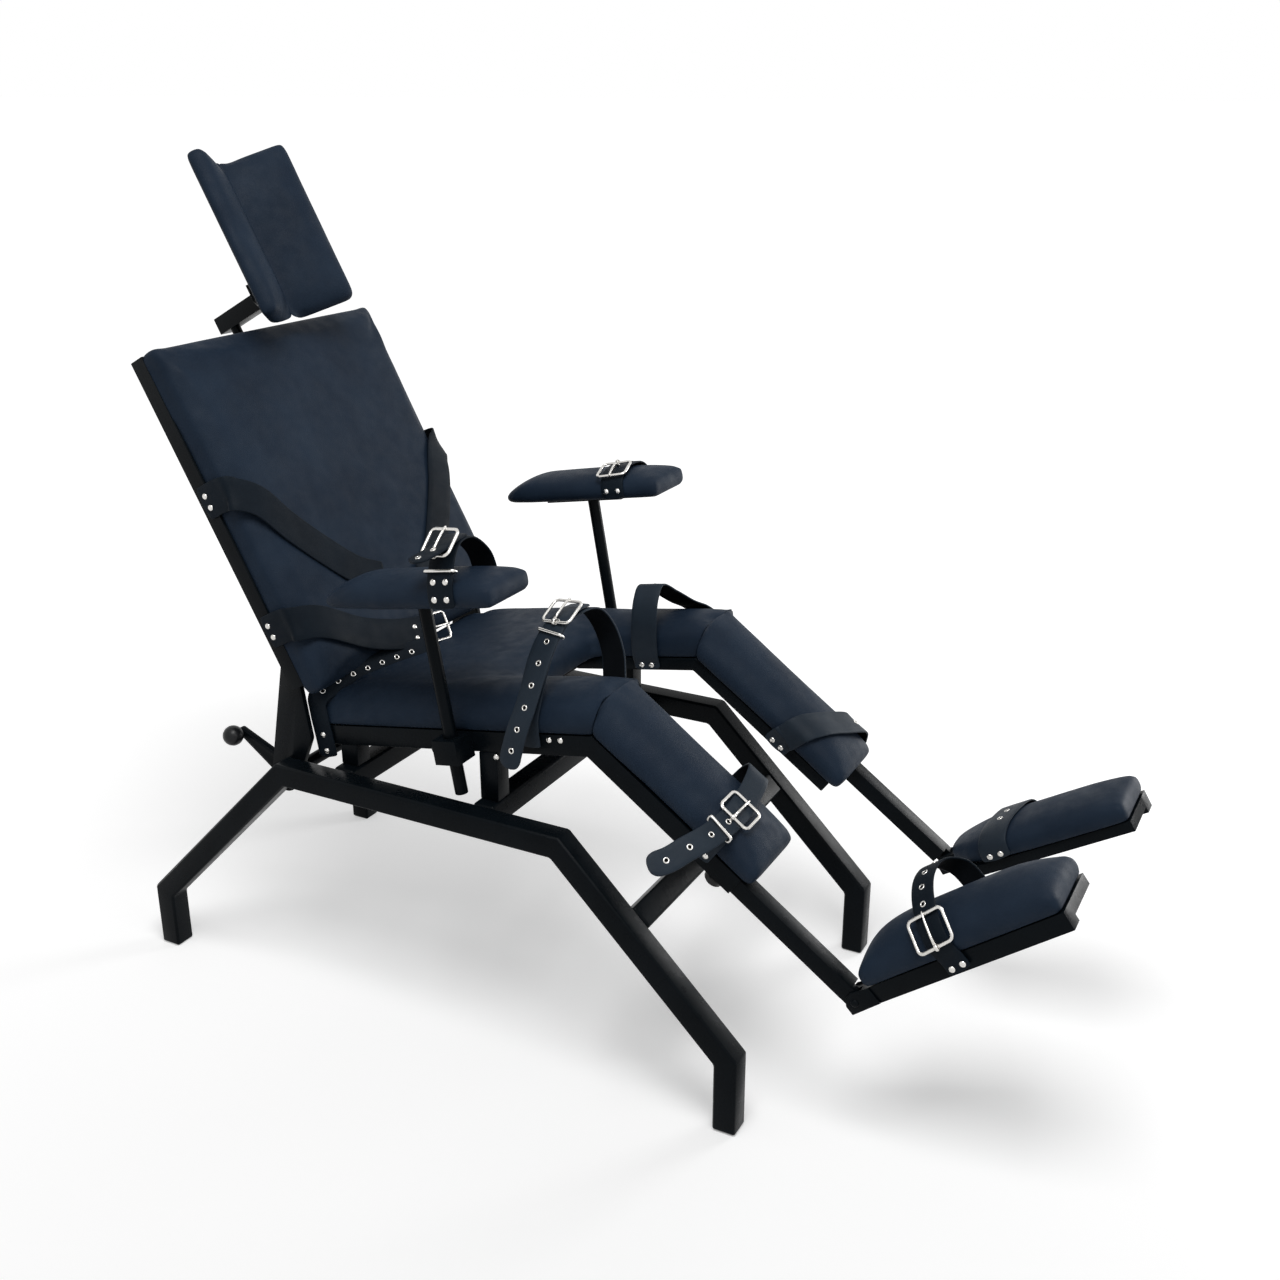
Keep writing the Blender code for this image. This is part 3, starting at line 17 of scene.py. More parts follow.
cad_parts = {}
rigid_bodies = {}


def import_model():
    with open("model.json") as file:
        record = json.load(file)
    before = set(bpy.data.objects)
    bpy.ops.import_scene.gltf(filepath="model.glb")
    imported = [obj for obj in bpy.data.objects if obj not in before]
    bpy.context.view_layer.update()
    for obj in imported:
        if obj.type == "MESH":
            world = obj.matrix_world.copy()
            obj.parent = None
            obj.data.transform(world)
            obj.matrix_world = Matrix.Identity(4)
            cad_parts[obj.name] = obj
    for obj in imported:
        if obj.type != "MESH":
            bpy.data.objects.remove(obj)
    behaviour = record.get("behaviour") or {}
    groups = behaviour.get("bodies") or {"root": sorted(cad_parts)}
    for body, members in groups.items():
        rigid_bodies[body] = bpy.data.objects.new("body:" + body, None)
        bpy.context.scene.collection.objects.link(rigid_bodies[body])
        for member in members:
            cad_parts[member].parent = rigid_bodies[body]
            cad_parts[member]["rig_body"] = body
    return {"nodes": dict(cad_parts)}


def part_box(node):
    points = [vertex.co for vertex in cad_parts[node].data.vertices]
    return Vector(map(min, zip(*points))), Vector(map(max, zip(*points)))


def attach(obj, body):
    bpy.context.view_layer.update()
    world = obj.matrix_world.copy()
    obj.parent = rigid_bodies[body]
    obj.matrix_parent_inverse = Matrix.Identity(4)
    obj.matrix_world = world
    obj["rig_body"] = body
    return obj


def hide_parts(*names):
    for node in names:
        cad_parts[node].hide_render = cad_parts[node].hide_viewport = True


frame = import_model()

scene = bpy.context.scene
solids = frame["nodes"]
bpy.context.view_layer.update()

# %% [markdown]
# ## Where things are
# Each part of the chair leans by its own angle, so its pieces are easiest to draw on that part.
# A matrix for each leaning part turns such a drawing into chair positions.
# Empties with parents would do it too, but finished pieces have to sit unturned at the origin.


# %% Leaning parts of the chair
def leaning(x, y, z, pitch):
    """A drawing place at a point, turned about the chair's crossways axis."""
    return Matrix.Translation((x, y, z)) @ Matrix.Rotation(math.radians(pitch), 4, "Y")


SIDES = (("right", -1), ("left", 1))
KNEE = (0.0607, 0.0, 0.496)
BACK_HINGE = (-0.4643, 0.0, 0.35525)
SEAT_PITCH, LEG_PITCH, BACK_PITCH = -9.75, 35.7, -28.2
FOOT_PITCH = {"right": 37.5, "left": 31.5}
ARM_HEIGHT = {"right": 0.2263, "left": 0.2593}
on_seat = leaning(*KNEE, SEAT_PITCH)
on_leg = leaning(*KNEE, LEG_PITCH)
on_back = leaning(*BACK_HINGE, BACK_PITCH)
on_foot = {}
on_arm = {}
for hand, side in SIDES:
    heel = leaning(0.4764, side * 0.2035, 0.015, -FOOT_PITCH[hand] - LEG_PITCH)
    on_foot[hand] = on_leg @ heel
    on_arm[hand] = on_seat @ Matrix.Translation((-0.206, side * 0.240, ARM_HEIGHT[hand]))
print("heels at", [tuple(round(c, 3) for c in place.translation) for place in on_foot.values()])

# %% [markdown]
# ## Camera
# The photograph looks down a little at the chair's right side, from in front of its feet.
# Three axes set by hand are exact, where a Track To constraint would leave the roll open.


# %% Camera at the photograph's angle
def placed(name, data):
    """A new object in the scene."""
    item = bpy.data.objects.new(name, data)
    scene.collection.objects.link(item)
    return item


TURN = math.radians(27.75)
RISE = math.radians(20.83)
look_right = Vector((math.cos(TURN), math.sin(TURN), 0.0))
look_back = Vector((math.sin(TURN) * math.cos(RISE), -math.cos(TURN) * math.cos(RISE),
                    math.sin(RISE)))
look_up = look_back.cross(look_right)
lens = bpy.data.cameras.new("photo_camera")
lens.sensor_width = 36.0
lens.lens = 40.95
camera = placed("photo_camera", lens)
aim = Matrix((look_right, look_up, look_back)).transposed().to_4x4()
camera.matrix_world = Matrix.Translation((0.9542, -1.7633, 1.3437)) @ aim
scene.camera = camera
scene.view_settings.view_transform = "Standard"
print("camera at", tuple(round(c, 3) for c in camera.location))

# %% [markdown]
# ## Node helpers
# Every finish below is a small tree of shader nodes.
# Three helpers keep the trees readable: one adds a node and fills its inputs by name, one does sums
# on sockets and numbers, and one starts a material.


# %% Shader helpers
def add_node(tree, kind, **values):
    """A node of a kind, with its inputs or settings filled by name."""
    made = tree.nodes.new(kind)
    for name, value in values.items():
        label = name.replace("_", " ")
        socket = next((s for s in made.inputs if s.name.lower() == label and s.enabled), None)
        if hasattr(value, "is_output"):
            tree.links.new(value, socket)
        elif socket is not None:
            socket.default_value = value
        else:
            setattr(made, name, value)
    return made


def worked_out(tree, operation, *values):
    """The result of a sum on sockets or numbers."""
    made = add_node(tree, "ShaderNodeMath", operation=operation)
    for socket, value in zip(made.inputs, values):
        if hasattr(value, "is_output"):
            tree.links.new(value, socket)
        else:
            socket.default_value = value
    return made.outputs[0]


def empty_tree(name):
    """A new material and its empty tree."""
    made = bpy.data.materials.new(name)
    made.use_nodes = True
    made.node_tree.nodes.clear()
    return made, made.node_tree


# %% [markdown]
# ## Floor, backdrop and light
# The photograph has a white ground with a faint soft shadow.
# More light would also whiten the chair, so the floor and the world glow to white only for what the
# camera, a mirror or glass sees. The floor's own diffuse part still takes the chair's shadow.


# %% White ground
def seen_directly(tree):
    """1 for rays from the camera, off metal or through glass, else 0."""
    seen = tree.nodes.new("ShaderNodeLightPath").outputs
    first = worked_out(tree, "MAXIMUM", seen["Is Camera Ray"], seen["Is Glossy Ray"])
    return worked_out(tree, "MAXIMUM", first, seen["Is Transmission Ray"])


LIT_SPOT = (0.6, -0.8, 0.0)  # the lamps whiten the floor here, so it glows least
FLOOR_HALF = 150.0
FLOOR_LEVEL = -0.0006  # just clear of the feet
floor_look, tree = empty_tree("white_floor")
matte = add_node(tree, "ShaderNodeBsdfDiffuse", color=(0.8, 0.8, 0.8, 1.0))
place = tree.nodes.new("ShaderNodeTexCoord").outputs["Object"]
away = add_node(tree, "ShaderNodeVectorMath", operation="DISTANCE")
tree.links.new(place, away.inputs[0])
away.inputs[1].default_value = LIT_SPOT
fill = add_node(tree, "ShaderNodeMapRange", interpolation_type="SMOOTHERSTEP",
                value=away.outputs["Value"], from_min=-1.0, from_max=4.6, to_min=0.13, to_max=0.82)
glow = add_node(tree, "ShaderNodeEmission", color=(1.0, 1.0, 1.0, 1.0),
                strength=worked_out(tree, "MULTIPLY", seen_directly(tree), fill.outputs[0]))
both = tree.nodes.new("ShaderNodeAddShader")
tree.links.new(matte.outputs[0], both.inputs[0])
tree.links.new(glow.outputs[0], both.inputs[1])
add_node(tree, "ShaderNodeOutputMaterial", surface=both.outputs[0])
bm = bmesh.new()
bmesh.ops.create_grid(bm, x_segments=1, y_segments=1, size=FLOOR_HALF)
floor_mesh = bpy.data.meshes.new("floor")
bm.to_mesh(floor_mesh)
bm.free()
floor_mesh.materials.append(floor_look)
floor = placed("floor", floor_mesh)
floor.location.z = FLOOR_LEVEL

world = bpy.data.worlds.new("studio")
world.use_nodes = True
scene.world = world
tree = world.node_tree
tree.nodes.clear()
lit = add_node(tree, "ShaderNodeMapRange", value=seen_directly(tree), to_min=0.30, to_max=1.0)
air = add_node(tree, "ShaderNodeBackground", color=(1.0, 1.0, 1.0, 1.0), strength=lit.outputs[0])
add_node(tree, "ShaderNodeOutputWorld", surface=air.outputs[0])
print("floor and world ready")


# %% Soft lamps
def soft_lamp(name, place, target, size, watts):
    """A square lamp that faces a target."""
    lamp = bpy.data.lights.new(name, "AREA")
    lamp.size = size
    lamp.energy = watts
    facing = (Vector(target) - Vector(place)).to_track_quat("-Z", "Y").to_matrix().to_4x4()
    placed(name, lamp).matrix_world = Matrix.Translation(place) @ facing


soft_lamp("overhead", (0.55, -1.1, 2.9), (0.1, 0.0, 0.4), 1.2, 54.0)
soft_lamp("from_behind", (1.75, 2.7, 0.95), (0.3, 0.1, 0.3), 1.2, 40.0)
soft_lamp("from_the_feet", (2.6, -1.0, 1.9), (0.0, 0.0, 0.5), 1.4, 6.0)
print("lamps:", len(bpy.data.lights))

# %% [markdown]
# ## Finishes
# Satin powder coat, pad leather, a lighter and a darker strap leather with its rough back, nickel,
# plastic.
# Image textures would be quicker, but noise and cells made in nodes have no edge and no fixed size.
# Object coordinates are metres here, so a scale of 500 means cells of about two millimetres.


# %% A finish from grain, cloudiness and wear
CLOUD_SCALE = 11.0
CLOUD_RANGE = (0.32, 0.72)
SMEAR_SCALE = 47.0
GRAIN_DEPTH = 0.0006


def finish(name, dark, pale, rough, grain, bump, cells=False, metal=0.0, shine=0.5):
    """A finish: colour drifts from dark to pale, roughness varies, and grain makes a fine bump."""
    made, tree = empty_tree(name)
    where = tree.nodes.new("ShaderNodeTexCoord").outputs["Object"]
    drift = add_node(tree, "ShaderNodeTexNoise", vector=where, scale=CLOUD_SCALE, detail=5.0,
                     roughness=0.6)
    blend = add_node(tree, "ShaderNodeValToRGB", fac=drift.outputs["Fac"])
    for stop, position, colour in zip(blend.color_ramp.elements, CLOUD_RANGE, (dark, pale)):
        stop.position = position
        stop.color = (*colour, 1.0)
    smear = add_node(tree, "ShaderNodeTexNoise", vector=where, scale=SMEAR_SCALE, detail=4.0)
    spread = add_node(tree, "ShaderNodeMapRange", value=smear.outputs["Fac"], from_min=0.3,
                      from_max=0.7, to_min=rough[0], to_max=rough[1])
    fine = add_node(tree, "ShaderNodeTexNoise", vector=where, scale=grain, detail=3.0)
    height = fine.outputs["Fac"]
    if cells:
        pebble = add_node(tree, "ShaderNodeTexVoronoi", vector=where, scale=grain * 0.8,
                          feature="DISTANCE_TO_EDGE")
        soft = add_node(tree, "ShaderNodeMapRange", value=pebble.outputs["Distance"], from_min=0.0,
                        from_max=0.35, to_min=0.0, to_max=1.0)
        height = worked_out(tree, "MULTIPLY_ADD", fine.outputs["Fac"], 0.6, soft.outputs[0])
    raised = add_node(tree, "ShaderNodeBump", height=height, strength=bump,
                      distance=GRAIN_DEPTH)
    shader = add_node(tree, "ShaderNodeBsdfPrincipled", base_color=blend.outputs["Color"],
                      roughness=spread.outputs[0], normal=raised.outputs[0], metallic=metal,
                      specular_ior_level=shine)
    add_node(tree, "ShaderNodeOutputMaterial", surface=shader.outputs[0])
    return made


powder_coat = finish("powder_coat", (0.0016, 0.0027, 0.0038), (0.0032, 0.0050, 0.0068),
                     (0.24, 0.34), 900.0, 0.22, shine=0.05)
pad_leather = finish("pad_leather", (0.0060, 0.0121, 0.0230), (0.0106, 0.0198, 0.0352),
                     (0.50, 0.66), 620.0, 0.30, cells=True, shine=0.10)
strap_leather = finish("strap_leather", (0.0085, 0.0140, 0.0215), (0.0145, 0.0230, 0.0340),
                       (0.42, 0.58), 800.0, 0.25, cells=True, shine=0.13)
dark_strap = finish("dark_strap", (0.0024, 0.0048, 0.0082), (0.0050, 0.0090, 0.0142),
                    (0.44, 0.60), 800.0, 0.25, cells=True, shine=0.07)
flesh_side = finish("flesh_side", (0.0018, 0.0024, 0.0032), (0.0050, 0.0062, 0.0080),
                    (0.75, 0.95), 520.0, 0.5, shine=0.04)
nickel = finish("nickel", (0.60, 0.585, 0.555), (0.74, 0.725, 0.70), (0.16, 0.30), 300.0, 0.04,
                metal=1.0)
black_plastic = finish("black_plastic", (0.0035, 0.0040, 0.0048), (0.0065, 0.0072, 0.0085),
                       (0.28, 0.40), 1100.0, 0.15, shine=0.25)
print("finishes:", [m.name for m in bpy.data.materials if m.node_tree])


# %% [markdown]
# ## Placing a finished piece
# Every piece goes through one door: it is added, rides a body, and hides the solid it stands for.
# Doing this in one helper means that no piece can be left behind when the chair moves.


# %% One door for every piece
def add_piece(name, mesh, look, body, stands_for=(), crease=None):
    """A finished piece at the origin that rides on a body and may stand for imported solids."""
    piece = placed(name, mesh)
    mesh.shade_smooth()
    if crease is not None:
        mesh.set_sharp_from_angle(angle=math.radians(crease))
    if look is not None:
        mesh.materials.clear()
        mesh.materials.append(look)
    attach(piece, body)
    if stands_for:
        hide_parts(*stands_for)
    return piece


def mesh_of(bm, name, place=None):
    """A plain mesh from a drawing, moved to its place, with faces outwards."""
    if place is not None:
        bmesh.ops.transform(bm, matrix=place, verts=bm.verts)
    bmesh.ops.recalc_face_normals(bm, faces=bm.faces)
    made = bpy.data.meshes.new(name)
    bm.to_mesh(made)
    bm.free()
    return made


def plain_copy(item):
    """The evaluated shape of an object as a plain mesh; the object is then removed."""
    bpy.context.view_layer.update()
    seen = item.evaluated_get(bpy.context.evaluated_depsgraph_get())
    made = bpy.data.meshes.new_from_object(seen)
    spent = item.data
    bpy.data.objects.remove(item, do_unlink=True)
    bpy.data.meshes.remove(spent)
    return made


body_of_solid = {node: item["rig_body"] for node, item in solids.items()}
print("bodies:", sorted(set(body_of_solid.values())))

# %% [markdown]
# ## Steel frame
# The frame is mild steel tube with small rounded corners under satin black powder coat.
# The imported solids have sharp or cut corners, which catch no light.
# A copy of each solid is merged, its flat triangles are dissolved, and a bevel rounds its edges.


# %% Round the edges of the steel
FLAT_ANGLE = math.radians(0.8)
EDGE_ANGLE = math.radians(30.0)


def rounded_steel(node, radius):
    """A copy of a packed steel solid with rounded edges."""
    bm = bmesh.new()
    bm.from_mesh(solids[node].data)
    bmesh.ops.remove_doubles(bm, verts=bm.verts, dist=1e-6)
    bmesh.ops.dissolve_limit(bm, angle_limit=FLAT_ANGLE, verts=bm.verts, edges=bm.edges)
    made = bpy.data.meshes.new(node + "_form")
    bm.to_mesh(made)
    bm.free()
    item = placed(node + "_form", made)
    edges = item.modifiers.new("edges", "BEVEL")
    edges.width = radius
    edges.segments = 3
    edges.limit_method = "ANGLE"
    edges.angle_limit = EDGE_ANGLE
    return add_piece(node + "_steel", plain_copy(item), powder_coat, body_of_solid[node],
                     (node,), crease=42.0)


steel_edges = {"base_side_right": 0.0011, "base_side_left": 0.0011, "cross_rail_rear": 0.0011,
               "cross_rail_front": 0.0011, "cross_rail_lower": 0.0011, "seat_cross_rear": 0.002,
               "seat_cross_middle": 0.002, "headrest_socket": 0.0016, "recline_lever": 0.0016,
               "back_frame": 0.0009, "headrest_post": 0.0005, "recline_shaft": 0.001}
for hand, _ in SIDES:
    steel_edges.update({"seat_rail_" + hand: 0.0022, "seat_upright_front_" + hand: 0.0015,
                        "seat_upright_rear_" + hand: 0.0015, "leg_rail_inner_" + hand: 0.002,
                        "shin_tie_" + hand: 0.0018, "leg_tube_" + hand: 0.0008,
                        "foot_rail_" + hand: 0.0009, "arm_clamp_" + hand: 0.0018,
                        "arm_plate_" + hand: 0.0008, "arm_post_" + hand: 0.0012})
for node, radius in steel_edges.items():
    rounded_steel(node, radius)
print("steel pieces:", len(steel_edges))

# %% [markdown]
# ## Knobs, screws and the lever's ball
# They are moulded black plastic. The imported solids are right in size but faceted.
# Turning them afresh would take a profile each; a bevel and smooth shading give the same soft look.

# %% Moulded plastic
KNOB_EDGE = 0.0012
moulded = ("headrest_lock_knob", "leg_lock_knob_right", "leg_lock_knob_left",
           "arm_clamp_screw_right", "arm_clamp_screw_left", "lever_ball")
for node in moulded:
    knob = rounded_steel(node, KNOB_EDGE)
    knob.data.materials.clear()
    knob.data.materials.append(black_plastic)
    knob.name = node + "_plastic"
print("plastic pieces:", len(moulded))

# %% [markdown]
# ## Heel hinges
# Each foot rest turns on a bolt through the end of its leg tube, between two cheeks of its rail.
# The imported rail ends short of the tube; the cheeks are thin plates that close that corner.


# %% Cheeks at the heels
CHEEK_INSIDE = 0.0128
CHEEK_OUTSIDE = 0.0148
CHEEK_THICK = 0.002


def cheeks(name, place, body):
    """Two plates on either side of a leg tube's end, drawn on the foot rest."""
    outline = [(-0.013, -0.0140), (0.034, -0.0124), (0.030, 0.0122), (0.016, 0.0135),
               (0.002, 0.0150), (-0.009, 0.0105), (-0.0145, 0.0)]
    bm = bmesh.new()
    for y in (-CHEEK_OUTSIDE, CHEEK_INSIDE):
        corners = [bm.verts.new((x, y, z)) for x, z in outline]
        face = bm.faces.new(corners)
        grown = bmesh.ops.extrude_face_region(bm, geom=[face])
        moved = [item for item in grown["geom"] if isinstance(item, bmesh.types.BMVert)]
        bmesh.ops.translate(bm, vec=(0, CHEEK_THICK, 0), verts=moved)
    bmesh.ops.bevel(bm, geom=list(bm.edges), offset=0.0006, segments=2, affect="EDGES", profile=0.5)
    add_piece(name, mesh_of(bm, name, place), powder_coat, body, crease=40.0)


for hand, _ in SIDES:
    cheeks("heel_cheeks_" + hand, on_foot[hand], "foot_" + hand)
print("heel cheeks:", len(SIDES))

# %% [markdown]
# ## Pads
# Each pad is foam on a board with leather pulled over it, so it is crowned and its edges are soft.
# A subdivided box looks like a bar of soap, so the leather is blown up by a short cloth simulation.
# The shell is first pulled out over the edges of the frame, as the leather of the real pad is.


# %% An even shell for the cloth to work on
def even_shell(node, place, voxel):
    """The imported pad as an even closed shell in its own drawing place."""
    bm = bmesh.new()
    bm.from_mesh(solids[node].data)
    bmesh.ops.remove_doubles(bm, verts=bm.verts, dist=1e-5)
    made = mesh_of(bm, node + "_shell", place.inverted())
    item = placed(node + "_shell", made)
    even = item.modifiers.new("even", "REMESH")
    even.mode = "VOXEL"
    even.voxel_size = voxel
    return plain_copy(item)


def points_of(mesh):
    """The points of a mesh as an array."""
    flat = np.empty(len(mesh.vertices) * 3, dtype=np.float32)
    mesh.vertices.foreach_get("co", flat)
    return flat.reshape(-1, 3).astype(float)


def set_points(mesh, points):
    """Writes an array of points back to a mesh."""
    mesh.vertices.foreach_set("co", points.astype(np.float32).ravel())
    mesh.update()


def relax(mesh, held, rounds):
    """Evens out the shell's ripples, leaving the held points where they are."""
    bm = bmesh.new()
    bm.from_mesh(mesh)
    free = [vert for vert, fixed in zip(bm.verts, held) if not fixed]
    for _ in range(rounds):
        bmesh.ops.smooth_vert(bm, verts=free, factor=0.5, use_axis_x=True, use_axis_y=True,
                              use_axis_z=True)
    bm.to_mesh(mesh)
    bm.free()


# %% Pull the leather into shape
def pulled(points, axis, low, high, band=0.045):
    """Moves the points near the two sides of a shell outwards along an axis."""
    here = points[:, axis].copy()
    points[:, axis] -= low * np.clip(1 - (here - here.min()) / band, 0, 1)
    points[:, axis] += high * np.clip(1 - (here.max() - here) / band, 0, 1)


def mitred(points, axis, end, depth, slope, band=0.06):
    """Slants one end of a shell, the more so the deeper or higher a point lies."""
    here = points[:, axis] * end
    points[:, axis] += end * slope * depth * np.clip(1 - (here.max() - here) / band, 0, 1)


def domed(points, up, along, across, rise, low_end=-1.0):
    """Raises a shell's middle over its flat underside. A low_end of 0 keeps that end raised too."""
    height = points[:, up] - points[:, up].min()
    swell = height / height.max()
    for axis, power, lowest in ((along, 6, low_end), (across, 2, -1.0)):
        here = points[:, axis]
        share = 2 * (here - here.min()) / (here.max() - here.min()) - 1
        swell = swell * (1 - np.abs(np.clip(share, lowest, 1.0)) ** power)
    points[:, up] += rise * swell


def thinned(points, up, along, length, keep):
    """Thins the low end of a shell to a share of its height, over a length."""
    here = np.clip((points[:, along] - points[:, along].min()) / length, 0, 1)
    share = keep + (1 - keep) * np.sin(here * math.pi / 2)
    underside = points[:, up].min()
    points[:, up] = underside + (points[:, up] - underside) * share


def kept_behind(points, planes):
    """Brings points that are past a plane back onto it."""
    for spot, normal in planes:
        normal = np.array(normal) / np.linalg.norm(normal)
        past = np.clip((points - np.array(spot)) @ normal, 0, None)
        points -= past[:, None] * normal


# %% Blow the leather up over the foam
MOMENTS = 14


def blown(mesh, held, pressure, limit):
    """Cloth with air pressure inside; every point stays within limit of where it started."""
    item = placed("leather_under_air", mesh)
    fixed = item.vertex_groups.new(name="underside")
    fixed.add(np.nonzero(held)[0].tolist(), 1.0, "REPLACE")
    cloth = item.modifiers.new("leather", "CLOTH")
    cloth.settings.quality = 4
    cloth.settings.use_pressure = True
    cloth.settings.uniform_pressure_force = pressure
    cloth.settings.vertex_group_mass = "underside"
    cloth.settings.effector_weights.gravity = 0.0
    cloth.settings.bending_stiffness = 2.0
    cloth.point_cache.frame_start = 1
    cloth.point_cache.frame_end = MOMENTS
    for moment in range(1, MOMENTS + 1):
        scene.frame_set(moment)
    seen = item.evaluated_get(bpy.context.evaluated_depsgraph_get())
    start = points_of(mesh)
    step = points_of(seen.data) - start
    scene.frame_set(1)
    bpy.data.objects.remove(item, do_unlink=True)
    length = np.maximum(np.linalg.norm(step, axis=1), 1e-9)
    set_points(mesh, start + step * np.minimum(1.0, limit / length)[:, None])


# %% Make one pad
LARGE_PAD = 0.0065  # how far apart the points of a pad's shell lie
SMALL_PAD = 0.005
pad_surfaces = {}


def leather_pad(node, place, up, voxel, shaping, limit=0.006, pressure=4.0, planes=(), skirt=0.0):
    """A blown leather pad that stands for a packed one. Up is the axis that its crown faces."""
    shell = even_shell(node, place, voxel)
    points = points_of(shell)
    held = points[:, up] < points[:, up].min() + voxel * 0.5
    relax(shell, held, 1)
    points = points_of(shell)
    shaping(points)
    kept_behind(points, planes)
    ends = np.empty(len(shell.edges) * 2, dtype=np.int32)
    shell.edges.foreach_get("vertices", ends)
    ends = ends.reshape(-1, 2)
    rim = ends[held[ends[:, 0]] != held[ends[:, 1]]]
    rim = np.unique(rim[held[rim]])
    points[rim, up] -= skirt
    set_points(shell, points)
    blown(shell, held, pressure, limit)
    relax(shell, held, 1)
    points = points_of(shell)
    kept_behind(points, planes)
    set_points(shell, points)
    relax(shell, held, 1)
    item = placed(node + "_blown", shell)
    finer = item.modifiers.new("finer", "SUBSURF")
    finer.levels = 1
    finer.render_levels = 1
    shape = plain_copy(item)
    shape.transform(place)
    piece = add_piece(node + "_leather", shape, pad_leather, body_of_solid[node],
                      (node,))
    bm = bmesh.new()
    bm.from_mesh(shape)
    pad_surfaces[node] = BVHTree.FromBMesh(bm)
    bm.free()
    proud = points_of(shape).max(axis=0) - np.array(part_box(node)[1])
    print(node, "points", len(shape.vertices), "proud by mm", (proud * 1000).round(1).tolist())


# %% Seat and shin pads
X, Y, Z = range(3)
FOLD = math.radians((LEG_PITCH - SEAT_PITCH) / 2)


def seat_shaping(points):
    """Full to the rails, and slanted in front so that it meets the shin pads in a fold."""
    mitred(points, X, 1, points[:, Z], math.tan(FOLD))
    pulled(points, X, 0.004, 0.006)
    pulled(points, Y, 0.005, 0.005)


def shin_shaping(points):
    """Full to the rails, slanted at the knee, and rounded like a bolster."""
    domed(points, Z, X, Y, 0.010, low_end=0.0)
    mitred(points, X, -1, points[:, Z], math.tan(FOLD))
    pulled(points, X, 0.024, 0.005)
    pulled(points, Y, 0.006, 0.006)


seat_end = ((0.0, 0.0, 0.0), (math.cos(FOLD), 0.0, -math.sin(FOLD)))
shin_end = ((0.0008, 0.0, 0.0), (-math.cos(FOLD), 0.0, -math.sin(FOLD)))
leather_pad("seat_pad", on_seat, Z, LARGE_PAD, seat_shaping, limit=0.008, planes=(seat_end,))
for hand, _ in SIDES:
    leather_pad("shin_pad_" + hand, on_leg, Z, SMALL_PAD, shin_shaping, planes=(shin_end,))


# %% Back pad
def back_shaping(points):
    """Pulled over the edges of the back's frame, and down to the seat."""
    pulled(points, Y, 0.005, 0.005)
    pulled(points, Z, 0.026, 0.007, band=0.06)


leather_pad("back_pad", on_back, X, LARGE_PAD, back_shaping, skirt=0.007)


# %% Arm, head and foot pads
WING = math.radians(38.0)


def arm_shaping(points):
    """Longer to the rear, where it tapers."""
    pulled(points, X, 0.018, 0.004, band=0.09)
    pulled(points, Y, 0.003, 0.003)
    domed(points, Z, X, Y, 0.005)
    thinned(points, Z, X, 0.075, 0.35)


def head_shaping(side):
    """Slanted behind the valley, so that the two wings meet there."""
    def shaping(points):
        mitred(points, Y, -side, -points[:, X], math.tan(WING), band=0.05)
        inner = (0.0, 0.018) if side < 0 else (0.018, 0.0)
        pulled(points, Y, *inner)
        pulled(points, Z, 0.010, 0.008)
    return shaping


def foot_shaping(rise, heel):
    """A bolster with a thin heel."""
    def shaping(points):
        domed(points, Z, X, Y, rise)
        thinned(points, Z, X, 0.11, heel)
        pulled(points, X, 0.004, 0.004)
        pulled(points, Y, 0.003, 0.003)
    return shaping


for hand, side in SIDES:
    wing = Matrix.Translation((0.2075, 0.0, 0.638)) @ Matrix.Rotation(-side * WING, 4, "Z")
    middle = ((0.0, 0.0, 0.0), (-math.sin(WING), -side * math.cos(WING), 0.0))
    shaping = foot_shaping(0.021, 0.9) if side < 0 else foot_shaping(0.006, 0.55)
    leather_pad("foot_pad_" + hand, on_foot[hand], Z, SMALL_PAD, shaping)
    leather_pad("arm_pad_" + hand, on_arm[hand], Z, SMALL_PAD, arm_shaping)
    leather_pad("head_pad_" + hand, on_back @ wing, X, SMALL_PAD, head_shaping(side),
                planes=(middle,))
print("pads:", len(pad_surfaces))

# %% [markdown]
# ## Straps
# The straps are stiff leather, 3 mm thick: two for the chest, one each for waist and lap, and loops
# for the thighs, shins, feet and wrists.
# A cloth simulation would crumple such stiff strips, so each one is drawn along its route.
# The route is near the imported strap's, but smoother, and lifted where a blown pad would touch it.

# %% A smooth line through a route
THICK = 0.003
WIDE = 0.034
BELT = 0.050


def smooth_line(points, steps=9):
    """A smooth curve through the points, with steps pieces between neighbours."""
    points = [Vector(point) for point in points]
    ends = [2 * points[0] - points[1]] + points + [2 * points[-1] - points[-2]]
    line = []
    for index in range(1, len(ends) - 2):
        before, here, there, after = ends[index - 1:index + 3]
        for step in range(steps):
            t = step / steps
            line.append(0.5 * (2 * here + (there - before) * t
                               + (2 * before - 5 * here + 4 * there - after) * t ** 2
                               + (3 * here - before - 3 * there + after) * t ** 3))
    return line + [points[-1]]


def stations(line, across, heart):
    """Point, along, across and outward directions at every point of a strap's line."""
    made = []
    last = len(line) - 1
    for index, point in enumerate(line):
        along = (line[min(last, index + 1)] - line[max(0, index - 1)]).normalized()
        wide = across(index / last)
        wide = (wide - along * wide.dot(along)).normalized()
        made.append([point, along, wide, along.cross(wide)])
    middle = made[last // 2]
    if middle[3].dot(middle[0] - heart) < 0:
        for station in made:
            station[3] = -station[3]
    return made


# %% Lift a strap off the pads
PAD_GAP = 0.0006
NEAR_PAD = 0.03


def averaged(values, index):
    """The mean of a value and its three neighbours on either side."""
    near = values[max(0, index - 3):index + 4]
    return sum(near) / len(near)


